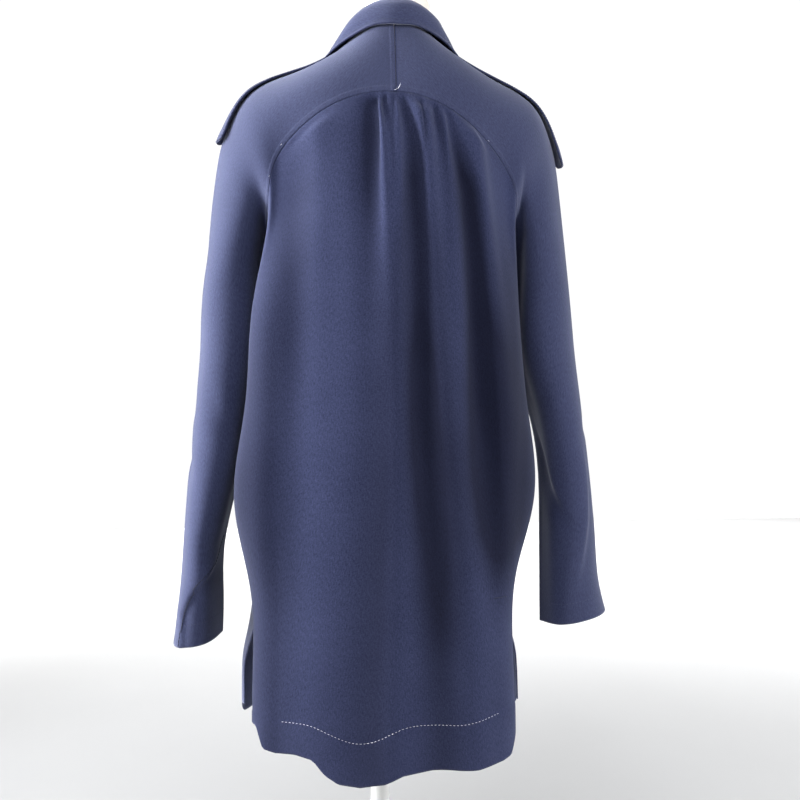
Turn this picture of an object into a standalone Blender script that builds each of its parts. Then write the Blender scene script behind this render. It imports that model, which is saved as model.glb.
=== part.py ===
"""A long soft blazer with raglan sleeves on a limbless dress form.

Each piece that a maker would cut is its own solid: a thin wall on a smooth surface through the
sections in the tables below. The wearer's left is +X, the back is +Y and the floor is Z = 0.
"""

import math

import bmesh
import bpy
import numpy as np

LEFT, RIGHT = 1, -1

# Cloth
WALL = 0.0016
SEAM_GAP, YOKE_GAP, RAGLAN_GAP = 0.0003, 0.0006, 0.0015
LAYER_GAP = 0.0048

# The garment's middle hangs a little to the wearer's right of the stand's pole.
MIDDLE_X = -0.010

# Body: a row for each level, evenly spaced from BODY_TOP down. Across it, back is the middle of the
# back, flare its widest point on either side, side the side seam, breast the front's corner and
# front the middle of the front. Columns end in x left, x right or y.
BODY_TOP = 1.40
BODY_STEP = 0.1125
BODY_COLUMNS = (
    "back_y", "flare_left", "flare_right", "flare_y", "side_left", "side_right", "side_y",
    "breast_left", "breast_right", "breast_y", "front_y",
)
BODY = (
    (0.080, 0.090, 0.110, 0.055, 0.090, 0.110, 0.020, 0.080, 0.100, -0.026, -0.036),
    (0.119, 0.138, 0.158, 0.078, 0.140, 0.160, 0.020, 0.116, 0.136, -0.072, -0.088),
    (0.131, 0.143, 0.160, 0.081, 0.146, 0.166, 0.012, 0.130, 0.150, -0.082, -0.122),
    (0.131, 0.160, 0.165, 0.073, 0.130, 0.144, 0.000, 0.132, 0.142, -0.090, -0.128),
    (0.129, 0.168, 0.177, 0.071, 0.138, 0.150, 0.000, 0.136, 0.146, -0.092, -0.124),
    (0.129, 0.181, 0.186, 0.071, 0.158, 0.166, 0.004, 0.150, 0.156, -0.090, -0.126),
    (0.127, 0.160, 0.158, 0.075, 0.157, 0.157, 0.028, 0.159, 0.162, -0.080, -0.126),
    (0.121, 0.156, 0.156, 0.080, 0.158, 0.157, 0.056, 0.168, 0.174, -0.078, -0.122),
    (0.115, 0.155, 0.158, 0.082, 0.156, 0.159, 0.058, 0.170, 0.178, -0.078, -0.120),
)
# Below the vents the side edges of the fronts stand off the back: how far out and how far forward.
VENT_TOP, VENT_SPREAD_AT = 0.700, 0.605
VENT_SPREAD = {LEFT: (0.018, -0.070), RIGHT: (0.028, -0.070)}
BACK_ROUNDNESS = 2.4
FRONT_ROUNDNESS = 2.2

# Shoulder: sections from the neck and centre back seam (first) to the underarm (last). Each goes
# from the yoke seam on the back, over the shoulder, to the front raglan seam: (out, y, z).
SHOULDER_COLUMNS = ("yoke_seam", "rise", "blade", "ridge", "chest", "drop", "front_seam")
SHOULDER = (
    ((0.000, 0.112, 1.318), (0.000, 0.098, 1.370), (0.000, 0.070, 1.428), (0.058, 0.028, 1.403),
     (0.061, -0.010, 1.380), (0.058, -0.038, 1.353), (0.052, -0.060, 1.328)),
    ((0.050, 0.113, 1.311), (0.056, 0.102, 1.353), (0.064, 0.073, 1.389), (0.100, 0.030, 1.370),
     (0.098, -0.018, 1.350), (0.088, -0.050, 1.318), (0.076, -0.070, 1.288)),
    ((0.100, 0.108, 1.284), (0.110, 0.098, 1.322), (0.122, 0.070, 1.350), (0.140, 0.028, 1.357),
     (0.138, -0.022, 1.334), (0.124, -0.058, 1.292), (0.106, -0.082, 1.240)),
    ((0.138, 0.093, 1.244), (0.154, 0.089, 1.282), (0.168, 0.068, 1.314), (0.178, 0.026, 1.334),
     (0.176, -0.024, 1.308), (0.156, -0.058, 1.256), (0.130, -0.080, 1.196)),
    ((0.150, 0.083, 1.196), (0.166, 0.084, 1.232), (0.188, 0.064, 1.268), (0.204, 0.020, 1.292),
     (0.199, -0.028, 1.264), (0.178, -0.060, 1.214), (0.148, -0.060, 1.166)),
    ((0.156, 0.012, 1.150), (0.166, 0.066, 1.172), (0.196, 0.066, 1.206), (0.219, 0.012, 1.240),
     (0.210, -0.040, 1.210), (0.182, -0.060, 1.176), (0.156, 0.012, 1.150)),
)
UNDERARM = len(SHOULDER) - 1
NAPE = 2
# The share of the shoulder's slope beside the centre back seam that is rounded away
CROWN = 0.85
# How the sides differ, section by section: the right yoke seam hangs lower, the left shoulder
# slopes more by the neck, and the right one is wider.
YOKE_DROP = {LEFT: (0, 0, 0, 0, 0, 0), RIGHT: (0, 0.004, 0.010, 0.012, 0.006, 0)}
RIDGE_DROP = {LEFT: (0.009, 0.008, 0.003, 0, 0, 0), RIGHT: (0, 0.001, -0.001, -0.001, 0, 0)}
WIDER = {LEFT: (0, 0, 0.001, 0.002, 0.001, 0), RIGHT: (0, 0.002, 0.002, 0.007, 0.006, 0.004)}

# Sleeve below the underarm, a row for each level: outer and inner x, middle y, half depth, and how
# far the outer side tilts up.
SLEEVE_COLUMNS = ("z", "outer", "inner", "y", "half_depth", "tilt")
SLEEVE = {
    LEFT: (
        (1.100, 0.226, 0.150, -0.004, 0.066, 0.000),
        (1.020, 0.230, 0.156, -0.006, 0.066, 0.000),
        (0.940, 0.237, 0.168, -0.006, 0.065, 0.000),
        (0.860, 0.244, 0.181, -0.002, 0.064, 0.000),
        (0.780, 0.249, 0.198, 0.002, 0.062, 0.000),
        (0.710, 0.254, 0.200, 0.004, 0.058, -0.002),
        (0.659, 0.261, 0.201, 0.004, 0.054, -0.004),
    ),
    RIGHT: (
        (1.100, 0.252, 0.168, -0.010, 0.064, 0.000),
        (1.020, 0.261, 0.176, -0.014, 0.062, 0.000),
        (0.940, 0.273, 0.204, -0.020, 0.058, 0.000),
        (0.860, 0.285, 0.219, -0.026, 0.056, 0.000),
        (0.780, 0.295, 0.221, -0.030, 0.052, 0.000),
        (0.715, 0.302, 0.222, -0.034, 0.047, 0.003),
        (0.662, 0.314, 0.223, -0.036, 0.043, 0.008),
    ),
}

# Hem of the back, from its right edge to its left: (x, z). It hangs lowest left of the middle.
HEM_LEVEL = 0.54
BACK_HEM = (
    (-0.160, 0.550), (-0.151, 0.5275), (-0.140, 0.524), (-0.107, 0.520), (-0.053, 0.521),
    (-0.018, 0.518), (0.004, 0.509), (0.033, 0.505), (0.058, 0.510), (0.074, 0.521),
    (0.088, 0.538), (0.110, 0.543), (0.134, 0.543), (0.147, 0.547), (0.154, 0.572),
)
# The share of the front's upper edge that is the raglan seam
NECK_PART = 0.6
FRONT_HEM = {LEFT: 0.562, RIGHT: 0.556}
FRONT_HEM_DROP, FRONT_HEM_CORNER = 0.024, 0.2


# Folds of the back: troughs that hang from the gathers under the yoke. x where each starts, at the
# waist and at the hem, then its half width and its depth at the same three places.
FOLD_LEVELS = (1.318, 0.95, 0.52)
FOLD_COLUMNS = ("x", "half_width", "depth")
BACK_FOLDS = (
    ((0.0125, -0.003, 0.006), (0.005, 0.020, 0.024), (0.0060, 0.0040, 0.0040)),
    ((-0.0100, -0.012, -0.012), (0.004, 0.010, 0.010), (0.0030, 0.0000, 0.0000)),
    ((-0.0380, -0.062, -0.088), (0.009, 0.020, 0.030), (0.0070, 0.0090, 0.0050)),
    ((-0.0640, -0.085, -0.100), (0.005, 0.012, 0.020), (0.0035, 0.0000, 0.0000)),
    ((-0.0980, -0.130, -0.150), (0.010, 0.019, 0.020), (0.0080, 0.0100, 0.0020)),
    ((0.0850, 0.087, 0.090), (0.018, 0.026, 0.030), (0.0050, 0.0030, 0.0010)),
)
GATHER_RISE = 0.022
# Shares of the back's width at evenly counted columns: close together under the gathers.
YOKE_STEP = 0.34
BACK_SHARES = ((0, -1.0), (6, -0.52), (34, 0.20), (43, 1.0))

# Opening of the fronts: the roll line leaves the collar, crosses the middle and meets the top
# button. out is measured from the garment's middle.
ROLL_TOP = (0.046, 1.322)
ROLL_END = (-0.018, 1.100)
LAPEL_START = {LEFT: 0.31, RIGHT: 0.0}
LAPEL_EDGE = {
    LEFT: ((0.006, 1.171), (0.034, 1.183), (0.064, 1.210), (0.089, 1.256), (0.104, 1.296)),
    RIGHT: ((-0.010, 1.106), (0.034, 1.152), (0.066, 1.205), (0.089, 1.256), (0.104, 1.296)),
}
LAPEL_LIFT = (0.0026, 0.0050)

# Collar, from centre back to its front end: (out, y, z) of the neck seam, stand, roll, fall, edge.
# It sits a little farther right than the yoke, and higher on that side. Its neck seam then follows
# the yoke's edge, met at these places across the sleeve's net.
COLLAR_X, COLLAR_TILT = -0.0125, 0.054
COLLAR_MEETS = (2.0, 2.5, 3.0, 4.0, 5.0, 6.0)
COLLAR = (
    ((0.000, 0.0705, 1.4305), (0.000, 0.0690, 1.440), (0.000, 0.0725, 1.4475), (0.000, 0.0860, 1.434),
     (0.000, 0.095, 1.4095)),
    ((0.031, 0.0510, 1.4220), (0.029, 0.0500, 1.433), (0.0340, 0.0545, 1.4435), (0.0455, 0.0665, 1.430),
     (0.055, 0.0720, 1.4065)),
    ((0.055, 0.0260, 1.4110), (0.050, 0.0240, 1.423), (0.0505, 0.0230, 1.4290), (0.065, 0.0280, 1.411),
     (0.0890, 0.031, 1.384)),
    ((0.060, -0.0100, 1.3850), (0.056, -0.0120, 1.396), (0.055, -0.0150, 1.4030), (0.072, -0.0180, 1.388),
     (0.092, -0.020, 1.361)),
    ((0.056, -0.0400, 1.3560), (0.053, -0.0430, 1.365), (0.052, -0.0480, 1.3715), (0.067, -0.0560, 1.356),
     (0.085, -0.063, 1.331)),
    ((0.048, -0.0640, 1.3310), (0.047, -0.0670, 1.334), (0.047, -0.0700, 1.3370), (0.061, -0.0760, 1.330),
     (0.076, -0.081, 1.316)),
)
COLLAR_WALL, COLLAR_GAP = 0.0020, 0.0015

# Shoulder tabs, in places on the sleeve's net: along it, and half the width across it
TAB_START, TAB_POINT = 0.95, 0.45
TAB_END = {LEFT: 4.40, RIGHT: 4.75}
TAB_MIDDLE, TAB_HALF_WIDTH = 2.95, 0.46
TAB_LIFT = {LEFT: (0.0036, 0.0044, 0.0080), RIGHT: (0.0042, 0.0044, 0.0100)}
TAB_WALL = 0.0024

# Buttons on the right front, in a column down its middle: (radius, height) from the rim inwards
BUTTON_LEVELS = (1.085, 0.955, 0.825)
BUTTON_PROFILE = (
    (0.0, 0.0022), (0.0070, 0.0022), (0.0082, 0.0034), (0.0102, 0.0034), (0.0110, 0.0026),
    (0.0110, 0.0006), (0.0104, 0.0), (0.0, 0.0),
)
BUTTON_GAP = 0.0006

# Dress form: z, half width, front y and back y of each ring, from the bottom. It leans a little to
# the wearer's right on its pole.
FORM = (
    (0.760, 0.128, -0.082, 0.072), (0.768, 0.138, -0.090, 0.080), (0.800, 0.146, -0.096, 0.090),
    (0.860, 0.148, -0.098, 0.096), (0.920, 0.138, -0.094, 0.090), (0.980, 0.122, -0.086, 0.078),
    (1.030, 0.112, -0.082, 0.072), (1.080, 0.113, -0.090, 0.080), (1.130, 0.120, -0.102, 0.092),
    (1.180, 0.126, -0.106, 0.102), (1.230, 0.130, -0.092, 0.104), (1.280, 0.132, -0.066, 0.098),
    (1.315, 0.126, -0.046, 0.090), (1.336, 0.106, -0.034, 0.080), (1.352, 0.082, -0.028, 0.070),
    (1.368, 0.058, -0.026, 0.062), (1.386, 0.047, -0.025, 0.057), (1.410, 0.043, -0.024, 0.053),
    (1.435, 0.042, -0.022, 0.052), (1.464, 0.042, -0.021, 0.052), (1.469, 0.040, -0.020, 0.050),
    (1.471, 0.036, -0.018, 0.046),
)
FORM_SIDES = 40
FORM_LEAN = -0.032
POLE_RADIUS, POLE_GAP = 0.012, 0.0003
BASE_PROFILE = (
    (0.0, 0.022), (0.020, 0.022), (0.026, 0.018), (0.150, 0.012), (0.161, 0.010), (0.165, 0.006),
    (0.165, 0.0), (0.0, 0.0),
)


def spline_weights(count, places):
    """Weights of evenly spaced values, a row for each place, for the smooth curve through them."""
    through = np.eye(count)
    for i in range(1, count - 1):
        through[i, i - 1:i + 2] = (1 / 6, 4 / 6, 1 / 6)
    padded = np.zeros((count + 2, count))
    padded[1:-1] = np.eye(count)
    padded[0, :2] = (2, -1)
    padded[-1, -2:] = (-1, 2)
    places = np.asarray(places, float).ravel()
    start = np.clip(places.astype(int), 0, count - 2)
    t = places - start
    parts = ((1 - t) ** 3, 3 * t ** 3 - 6 * t ** 2 + 4, -3 * t ** 3 + 3 * t ** 2 + 3 * t + 1, t ** 3)
    basis = np.zeros((len(places), count + 2))
    for k, part in enumerate(parts):
        basis[np.arange(len(places)), start + k] = part / 6
    return basis @ padded @ np.linalg.inv(through)


def on_net(net, down, across):
    """Points of the smooth surface through a net of sections, at paired places."""
    rows = spline_weights(net.shape[0], down)
    columns = spline_weights(net.shape[1], across)
    return np.einsum("kr,kc,rcx->kx", rows, columns, net)


def rounded(x, half_width, middle_y, corner_y, roundness):
    """y of a flattened arc that runs from its middle to its corner."""
    return corner_y + (middle_y - corner_y) * (1 - (x / half_width) ** roundness) ** (1 / roundness)


def back_net():
    net = []
    for k, row in enumerate(BODY):
        at = dict(zip(BODY_COLUMNS, row))
        z = BODY_TOP - k * BODY_STEP
        points = {}
        for side, name in ((RIGHT, "right"), (LEFT, "left")):
            flare = at["flare_" + name]
            for place, share in ((1, 0.45), (2, 0.80), (3, 1.0)):
                x = share * flare
                y = rounded(x, flare, at["back_y"], at["flare_y"], BACK_ROUNDNESS)
                points[side * place] = (side * x, y, z)
            points[side * 4] = (side * at["side_" + name], at["side_y"], z)
        points[0] = (0.0, at["back_y"], z)
        net.append([points[place] for place in range(-4, 5)])
    return np.array(net)


def front_net():
    net = []
    for k, row in enumerate(BODY):
        at = dict(zip(BODY_COLUMNS, row))
        z = BODY_TOP - k * BODY_STEP
        points = {0: (0.0, at["front_y"], z)}
        for side, name in ((RIGHT, "right"), (LEFT, "left")):
            breast = at["breast_" + name]
            x = 0.55 * breast
            y = rounded(x, breast, at["front_y"], at["breast_y"], FRONT_ROUNDNESS)
            points[side] = (side * x, y, z)
            points[2 * side] = (side * breast, at["breast_y"], z)
            points[3 * side] = (side * at["side_" + name], at["side_y"], z)
        net.append([points[place] for place in range(-3, 4)])
    return np.array(net)


def sleeve_net(side):
    net = []
    for k, section in enumerate(SHOULDER):
        row = []
        for name, (out, y, z) in zip(SHOULDER_COLUMNS, section):
            at_nape = k == 0 and name == "blade"
            if name in ("blade", "ridge", "chest") and not at_nape:
                out += WIDER[side][k]
                z -= RIDGE_DROP[side][k]
            if name == "yoke_seam":
                z -= YOKE_DROP[side][k]
            row.append((MIDDLE_X + side * out, y, z))
        net.append(row)
    for z, outer, inner, middle_y, half_depth, tilt in SLEEVE[side]:
        middle, half_width = (outer + inner) / 2, (outer - inner) / 2
        turns = [math.tau * k / 6 for k in range(7)]
        net.append([
            (side * (middle - half_width * math.cos(a)), middle_y + half_depth * math.sin(a),
             z - tilt * math.cos(a))
            for a in turns
        ])
    return np.array(net)


BACK_NET, FRONT_NET = back_net(), front_net()
SLEEVE_NETS = {side: sleeve_net(side) for side in (LEFT, RIGHT)}


def on_back(share, z):
    """The back at a share of its width, -1 at the right side seam and 1 at the left, and a level."""
    return on_net(BACK_NET, (BODY_TOP - z) / BODY_STEP, 4 + 4 * share)


def on_front(share, z):
    """The front at a share of its width and a level. Its side edges spread below the vents."""
    share, z = (values.ravel() for values in np.broadcast_arrays(np.asarray(share, float), z))
    points = on_net(FRONT_NET, (BODY_TOP - z) / BODY_STEP, 3 + 3 * share)
    spread = ease((VENT_TOP - z) / (VENT_TOP - VENT_SPREAD_AT)) * ease(3 * abs(share) - 2)
    for side, (out, forward) in VENT_SPREAD.items():
        points[:, 0] += np.where(share * side > 0, side * out * spread, 0)
    points[:, 1] += forward * spread
    return points


def share_near(on_body, point, side):
    """The share of the body's width whose point at the same level lies nearest."""
    shares = side * np.linspace(-0.3, 1, 391)
    found = on_body(shares, np.full(len(shares), point[2]))
    return shares[np.argmin(np.linalg.norm(found - point, axis=1))]


def ease(t):
    t = np.clip(t, 0, 1)
    return t * t * (3 - 2 * t)


def curve(table, at):
    """A smooth curve through a short table of (place, value) rows."""
    places, values = np.array(table, float).T
    steps = np.interp(at, places, np.arange(len(places)))
    return spline_weights(len(values), steps) @ values


def normals(grid):
    """Unit normals of a grid of points, to the side that its rows and columns turn towards."""
    down = np.gradient(grid, axis=0)
    across = np.gradient(grid, axis=1)
    crossed = np.cross(down, across)
    return crossed / np.maximum(np.linalg.norm(crossed, axis=2, keepdims=True), 1e-9)


def fold_depth(x, z):
    """How far the back's folds sink in at each place."""
    levels = FOLD_LEVELS[::-1]
    total = np.zeros_like(x)
    for middles, widths, depths in BACK_FOLDS:
        middle = np.interp(z, levels, middles[::-1])
        width = np.interp(z, levels, widths[::-1])
        depth = np.interp(z, levels, depths[::-1])
        total += depth * np.exp(-(((x - middle) / width) ** 2))
    return total


def back_columns():
    """The share of the back's width at each column."""
    counts, at = np.array(BACK_SHARES).T
    return np.interp(np.arange(counts[-1] + 1), counts, at)


def yoke_places(side):
    """Places down a yoke's seam that meet columns of the back, not too close together."""
    shares = back_columns()
    places = np.sort(UNDERARM * abs(shares[shares * side > 0]))
    kept = [0.0]
    for place, after in zip(places, [*places[1:], np.inf]):
        if max(place - kept[-1], after - place) >= YOKE_STEP:
            kept.append(place)
    return np.array(kept)


def back_grid(shares_across, rows):
    """Columns hang from places along the yoke seam down to the hem."""
    columns = len(shares_across)
    grid = np.zeros((rows, columns, 3))
    down = np.linspace(0, 1, rows)
    seam_z = np.zeros(columns)
    for k, share in enumerate(shares_across):
        side = LEFT if share >= 0 else RIGHT
        seam = on_sleeve(side, UNDERARM * abs(share), 0)
        seam_z[k] = seam[2]
        top_share = share_near(on_back, seam, side)
        hem_z = np.interp(on_back(share, HEM_LEVEL)[0, 0], *np.array(BACK_HEM).T)
        shares = top_share + (share - top_share) * ease(down / 0.4)
        z = seam[2] + (hem_z - seam[2]) * down
        offset = seam - on_back(top_share, seam[2])[0]
        grid[:, k] = on_back(shares, z) + offset * (1 - ease(down / 0.3))[:, None]
    x, z = grid[:, :, 0], grid[:, :, 2]
    below = ease((seam_z[None, :] - z) / GATHER_RISE)
    middle = ease((0.17 - abs(x - MIDDLE_X)) / 0.03)
    return grid + normals(grid) * (-fold_depth(x, z) * below * middle)[:, :, None]


def front_share(side, out, z):
    """The share of the front's width that lies out from the middle by this much."""
    shares = side * np.linspace(-0.35, 1, 271)
    found = on_front(shares, np.full(len(shares), z))
    return np.interp(MIDDLE_X + side * out, *sorted_pairs(found[:, 0], shares))


def sorted_pairs(keys, values):
    order = np.argsort(keys)
    return keys[order], values[order]


def front_layer(side, share, z):
    """A place on the front. The left front passes under the right one at the middle."""
    point = on_front(share, z)
    if side == LEFT:
        under = 1 - ease((abs(point[:, 0] - MIDDLE_X) - 0.022) / 0.03)
        point[:, 1] += LAYER_GAP * under
    return point


def front_top(side, part):
    """The front's upper edge: the raglan seam from the underarm, then the roll line to its end."""
    if part < NECK_PART:
        return on_sleeve(side, UNDERARM * (1 - part / NECK_PART), len(SHOULDER_COLUMNS) - 1)
    down = (part - NECK_PART) / (1 - NECK_PART)
    out, z = (top + (end - top) * down for top, end in zip(ROLL_TOP, ROLL_END))
    return front_layer(side, front_share(side, out, z), z)[0]


def front_grid(side, columns, rows):
    """Columns hang from places along the raglan seam and the roll line down to the hem."""
    grid = np.zeros((rows, columns, 3))
    down = np.linspace(0, 1, rows)
    hem_edge = front_share(side, ROLL_END[0], FRONT_HEM[side])
    for k, part in enumerate(np.linspace(0, 1, columns)):
        top = front_top(side, part)
        top_share = share_near(on_front, top, side)
        hem_share = side + (hem_edge - side) * part
        shares = top_share + (hem_share - top_share) * ease(down / 0.4)
        hem_z = FRONT_HEM[side] - FRONT_HEM_DROP * ease(part / FRONT_HEM_CORNER)
        z = top[2] + (hem_z - top[2]) * down
        offset = top - front_layer(side, top_share, top[2])[0]
        grid[:, k] = front_layer(side, shares, z) + offset * (1 - ease(down / 0.3))[:, None]
    return grid


def lapel_grid(side, columns, rows):
    """The turned back part of a front: its points moved out from the front's."""
    grid = np.zeros((rows, columns, 3))
    edge_out, edge_z = np.array(LAPEL_EDGE[side]).T
    start = LAPEL_START[side]
    for k, part in enumerate(np.linspace(0, 1, rows)):
        along = start + (1 - start) * part
        roll = [end + (top - end) * along for end, top in zip(ROLL_END, ROLL_TOP)]
        weights = spline_weights(len(edge_out), part * (len(edge_out) - 1))[0]
        edge = (weights @ edge_out, weights @ edge_z)
        for j, across in enumerate(np.linspace(0, 1, columns)):
            out, z = (a + (b - a) * across for a, b in zip(roll, edge))
            grid[k, j] = front_layer(side, front_share(side, out, z), z)[0]
            lift = LAPEL_LIFT[0] + (LAPEL_LIFT[1] - LAPEL_LIFT[0]) * across
            grid[k, j, 1] -= lift + 0.004 * math.sin(math.pi * across) * part
    return grid


def on_sleeve(side, down, across):
    """Points of a sleeve. Its centre back edge, from the yoke seam to the nape, is kept straight, and
    the yoke leaves it level."""
    down, across = np.broadcast_arrays(np.asarray(down, float), np.asarray(across, float))
    v, u = down.ravel(), across.ravel()
    points = on_net(SLEEVE_NETS[side], v, u)
    edge = on_net(SLEEVE_NETS[side], np.zeros(u.size), u)
    next_section = on_net(SLEEVE_NETS[side], np.ones(u.size), u)
    bend = np.where(u < NAPE, edge[:, 0] - MIDDLE_X, 0)
    points[:, 0] -= bend * (1 - ease(v))
    slope = (edge[:, 2] - next_section[:, 2]) * (1 - ease(u - NAPE))
    points[:, 2] += CROWN * slope * np.where(v < 1, v * (1 - v) ** 2, 0)
    return points.reshape(*down.shape, 3)


def sleeve_grid(side, down, across):
    """Half a yoke and its sleeve, closed into a tube from the underarm down."""
    grid = on_sleeve(side, *np.meshgrid(down, across, indexing="ij"))
    closed = down >= UNDERARM
    grid[closed, 0] = grid[closed, -1] = (grid[closed, 0] + grid[closed, -1]) / 2
    return grid


def collar_grid(around, across):
    """From the right front end round the back to the left front end, up from the yoke's edge."""
    net = [[(-out, y, z) for out, y, z in section] for section in COLLAR[:0:-1]]
    net += [[(out, y, z) for out, y, z in section] for section in COLLAR]
    net = np.array(net)
    net[:, :, 2] -= COLLAR_TILT * net[:, :, 0]
    net[:, :, 0] += COLLAR_X
    end = len(COLLAR) - 1
    places = np.linspace(0, 2 * end, around)
    v, u = np.meshgrid(places, np.linspace(0, net.shape[1] - 1, across), indexing="ij")
    grid = on_net(net, v, u).reshape(around, across, 3)
    meets = np.interp(abs(places - end), np.arange(len(COLLAR_MEETS)), COLLAR_MEETS)
    seam = np.where((places < end)[:, None], on_sleeve(RIGHT, 0, meets), on_sleeve(LEFT, 0, meets))
    seam[:, 2] += COLLAR_GAP
    return grid + np.clip(1 - u, 0, 1)[:, :, None] * (seam[:, None] - grid[:, :1])


def tab_grid(side, along, across):
    """A strap on the ridge of the shoulder, with a rounded free end."""
    v = np.linspace(TAB_START, TAB_END[side], along)
    end = np.clip((v - (TAB_END[side] - TAB_POINT)) / TAB_POINT, 0, 1)
    half = TAB_HALF_WIDTH * np.sqrt(1 - 0.88 * end ** 2)
    grid = np.zeros((along, across, 3))
    for k in range(along):
        u = TAB_MIDDLE + half[k] * np.linspace(-1, 1, across)
        grid[k] = on_sleeve(side, v[k], u)
    lift = np.interp(v, (TAB_START, 2.5, TAB_END[side]), TAB_LIFT[side])
    out = normals(grid)
    if out[0, 0, 2] < 0:
        out = -out
    return grid + out * lift[:, None, None]


def drawn_in(grid, top=0.0, bottom=0.0, first=0.0, last=0.0):
    """The grid with its edge rows or columns moved in from a seam."""
    grid = grid.copy()
    for gap, edge, inner in ((top, 0, 1), (bottom, -1, -2)):
        step = grid[inner] - grid[edge]
        grid[edge] += gap * step / np.linalg.norm(step, axis=1, keepdims=True)
    for gap, edge, inner in ((first, 0, 1), (last, -1, -2)):
        step = grid[:, inner] - grid[:, edge]
        grid[:, edge] += gap * step / np.linalg.norm(step, axis=1, keepdims=True)
    return grid


def material(name, colour, roughness, metallic=0.0):
    made = bpy.data.materials.new(name)
    made.use_nodes = True
    shader = made.node_tree.nodes["Principled BSDF"]
    shader.inputs["Base Color"].default_value = (*colour, 1)
    shader.inputs["Roughness"].default_value = roughness
    shader.inputs["Metallic"].default_value = metallic
    return made


def place(name, mesh, made_of):
    part = bpy.data.objects.new(name, mesh)
    mesh.materials.append(made_of)
    parts.objects.link(part)
    return part


def cloth(name, grid, made_of, wall, outward):
    """A wall of cloth: the grid is its outer face, and outward a direction that its middle faces."""
    rows, columns = grid.shape[:2]
    middle = normals(grid)[rows // 2, columns // 2]
    turned = np.dot(middle, outward) < 0
    bm = bmesh.new()
    made = [[bm.verts.new(point) for point in row] for row in grid]
    for r in range(rows - 1):
        for c in range(columns - 1):
            corners = [made[r][c], made[r + 1][c], made[r + 1][c + 1], made[r][c + 1]]
            bm.faces.new(corners[::-1] if turned else corners)
    bmesh.ops.remove_doubles(bm, verts=bm.verts, dist=1e-5)
    mesh = bpy.data.meshes.new(name)
    bm.to_mesh(mesh)
    bm.free()
    part = place(name, mesh, made_of)
    thick = part.modifiers.new("Wall", "SOLIDIFY")
    thick.thickness = wall
    thick.offset = -1
    return part


def turned(name, profile, sides, made_of):
    """A profile of (radius, z) turned about the vertical axis."""
    bm = bmesh.new()
    line = [bm.verts.new((radius, 0, z)) for radius, z in profile]
    for a, b in zip(line, line[1:]):
        bm.edges.new((a, b))
    mesh = bpy.data.meshes.new(name)
    bm.to_mesh(mesh)
    bm.free()
    part = place(name, mesh, made_of)
    turn = part.modifiers.new("Turn", "SCREW")
    turn.steps = turn.render_steps = sides
    turn.use_merge_vertices = True
    turn.merge_threshold = 0.00005
    return part


def button(name, side, level, made_of):
    """A button clear of the front at its middle, its face to the front."""
    reach = BUTTON_PROFILE[4][0]
    outs, heights = np.meshgrid((-reach, 0, reach), (level - reach, level, level + reach))
    under = [
        front_layer(side, front_share(side, out, z), z)[0, 1]
        for out, z in zip(outs.ravel(), heights.ravel())
    ]
    part = turned(name, BUTTON_PROFILE, 32, made_of)
    part.location = (MIDDLE_X, min(under) - BUTTON_GAP, level)
    part.rotation_euler = (math.pi / 2, 0, 0)
    return part


def form_ring(half_width, front_y, back_y):
    """One level of the form: (x, y) points round it."""
    ring = []
    for k in range(FORM_SIDES):
        turn = math.tau * k / FORM_SIDES
        depth = back_y if math.sin(turn) > 0 else -front_y
        ring.append((half_width * math.cos(turn), depth * math.sin(turn)))
    return ring


def dress_form(made_of):
    """A loft through the form's levels, closed at the bottom and the top."""
    bm = bmesh.new()
    levels = []
    for z, half_width, front_y, back_y in FORM:
        shift = FORM_LEAN * (z - FORM[0][0])
        levels.append([bm.verts.new((x + shift, y, z)) for x, y in form_ring(half_width, front_y, back_y)])
    for low, high in zip(levels, levels[1:]):
        for k in range(FORM_SIDES):
            after = (k + 1) % FORM_SIDES
            bm.faces.new((low[k], low[after], high[after], high[k]))
    bm.faces.new(levels[0][::-1])
    bm.faces.new(levels[-1])
    mesh = bpy.data.meshes.new("form_torso")
    bm.to_mesh(mesh)
    bm.free()
    return place("form_torso", mesh, made_of)


for old in list(bpy.data.objects):
    bpy.data.objects.remove(old, do_unlink=True)
parts = bpy.data.collections.new("blazer_on_dress_form")
bpy.context.scene.collection.children.link(parts)

navy = material("navy_cloth", (0.055, 0.062, 0.118), 0.9)
button_navy = material("navy_button", (0.02, 0.022, 0.045), 0.35)
cream = material("cream_cover", (0.83, 0.76, 0.66), 0.8)
white = material("white_paint", (0.82, 0.82, 0.80), 0.4)

cloth("back", drawn_in(back_grid(back_columns(), 19), RAGLAN_GAP, 0, SEAM_GAP, SEAM_GAP), navy, WALL, (0, 1, 0))
sleeve_below = np.linspace(UNDERARM, UNDERARM + 7, 10)[1:]
for side, name in ((LEFT, "left"), (RIGHT, "right")):
    front = front_grid(side, 14, 13)
    cloth("front_" + name, drawn_in(front, RAGLAN_GAP, 0, SEAM_GAP, 0), navy, WALL, (0, -1, 0))
    cloth("lapel_" + name, lapel_grid(side, 4, 8), navy, WALL, (0, -1, 0))
    sleeve_down = np.concatenate([yoke_places(side), sleeve_below])
    sleeve = drawn_in(sleeve_grid(side, sleeve_down, np.linspace(0, 6, 19)), YOKE_GAP)
    cloth("sleeve_" + name, sleeve, navy, WALL, (side, 0, 0))
    cloth("tab_" + name, tab_grid(side, 13, 4), navy, TAB_WALL, (0, 0, 1))
cloth("collar", collar_grid(25, 9), navy, COLLAR_WALL, (0, 1, 0))
for count, level in enumerate(BUTTON_LEVELS, 1):
    button(f"button_{count}", RIGHT, level, button_navy)

dress_form(cream)
pole_low, pole_high = BASE_PROFILE[0][1] + POLE_GAP, FORM[0][0] - POLE_GAP
pole_profile = ((0, pole_high), (POLE_RADIUS, pole_high), (POLE_RADIUS, pole_low), (0, pole_low))
turned("stand_pole", pole_profile, 32, white)
turned("stand_base", BASE_PROFILE, 64, white)
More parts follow.
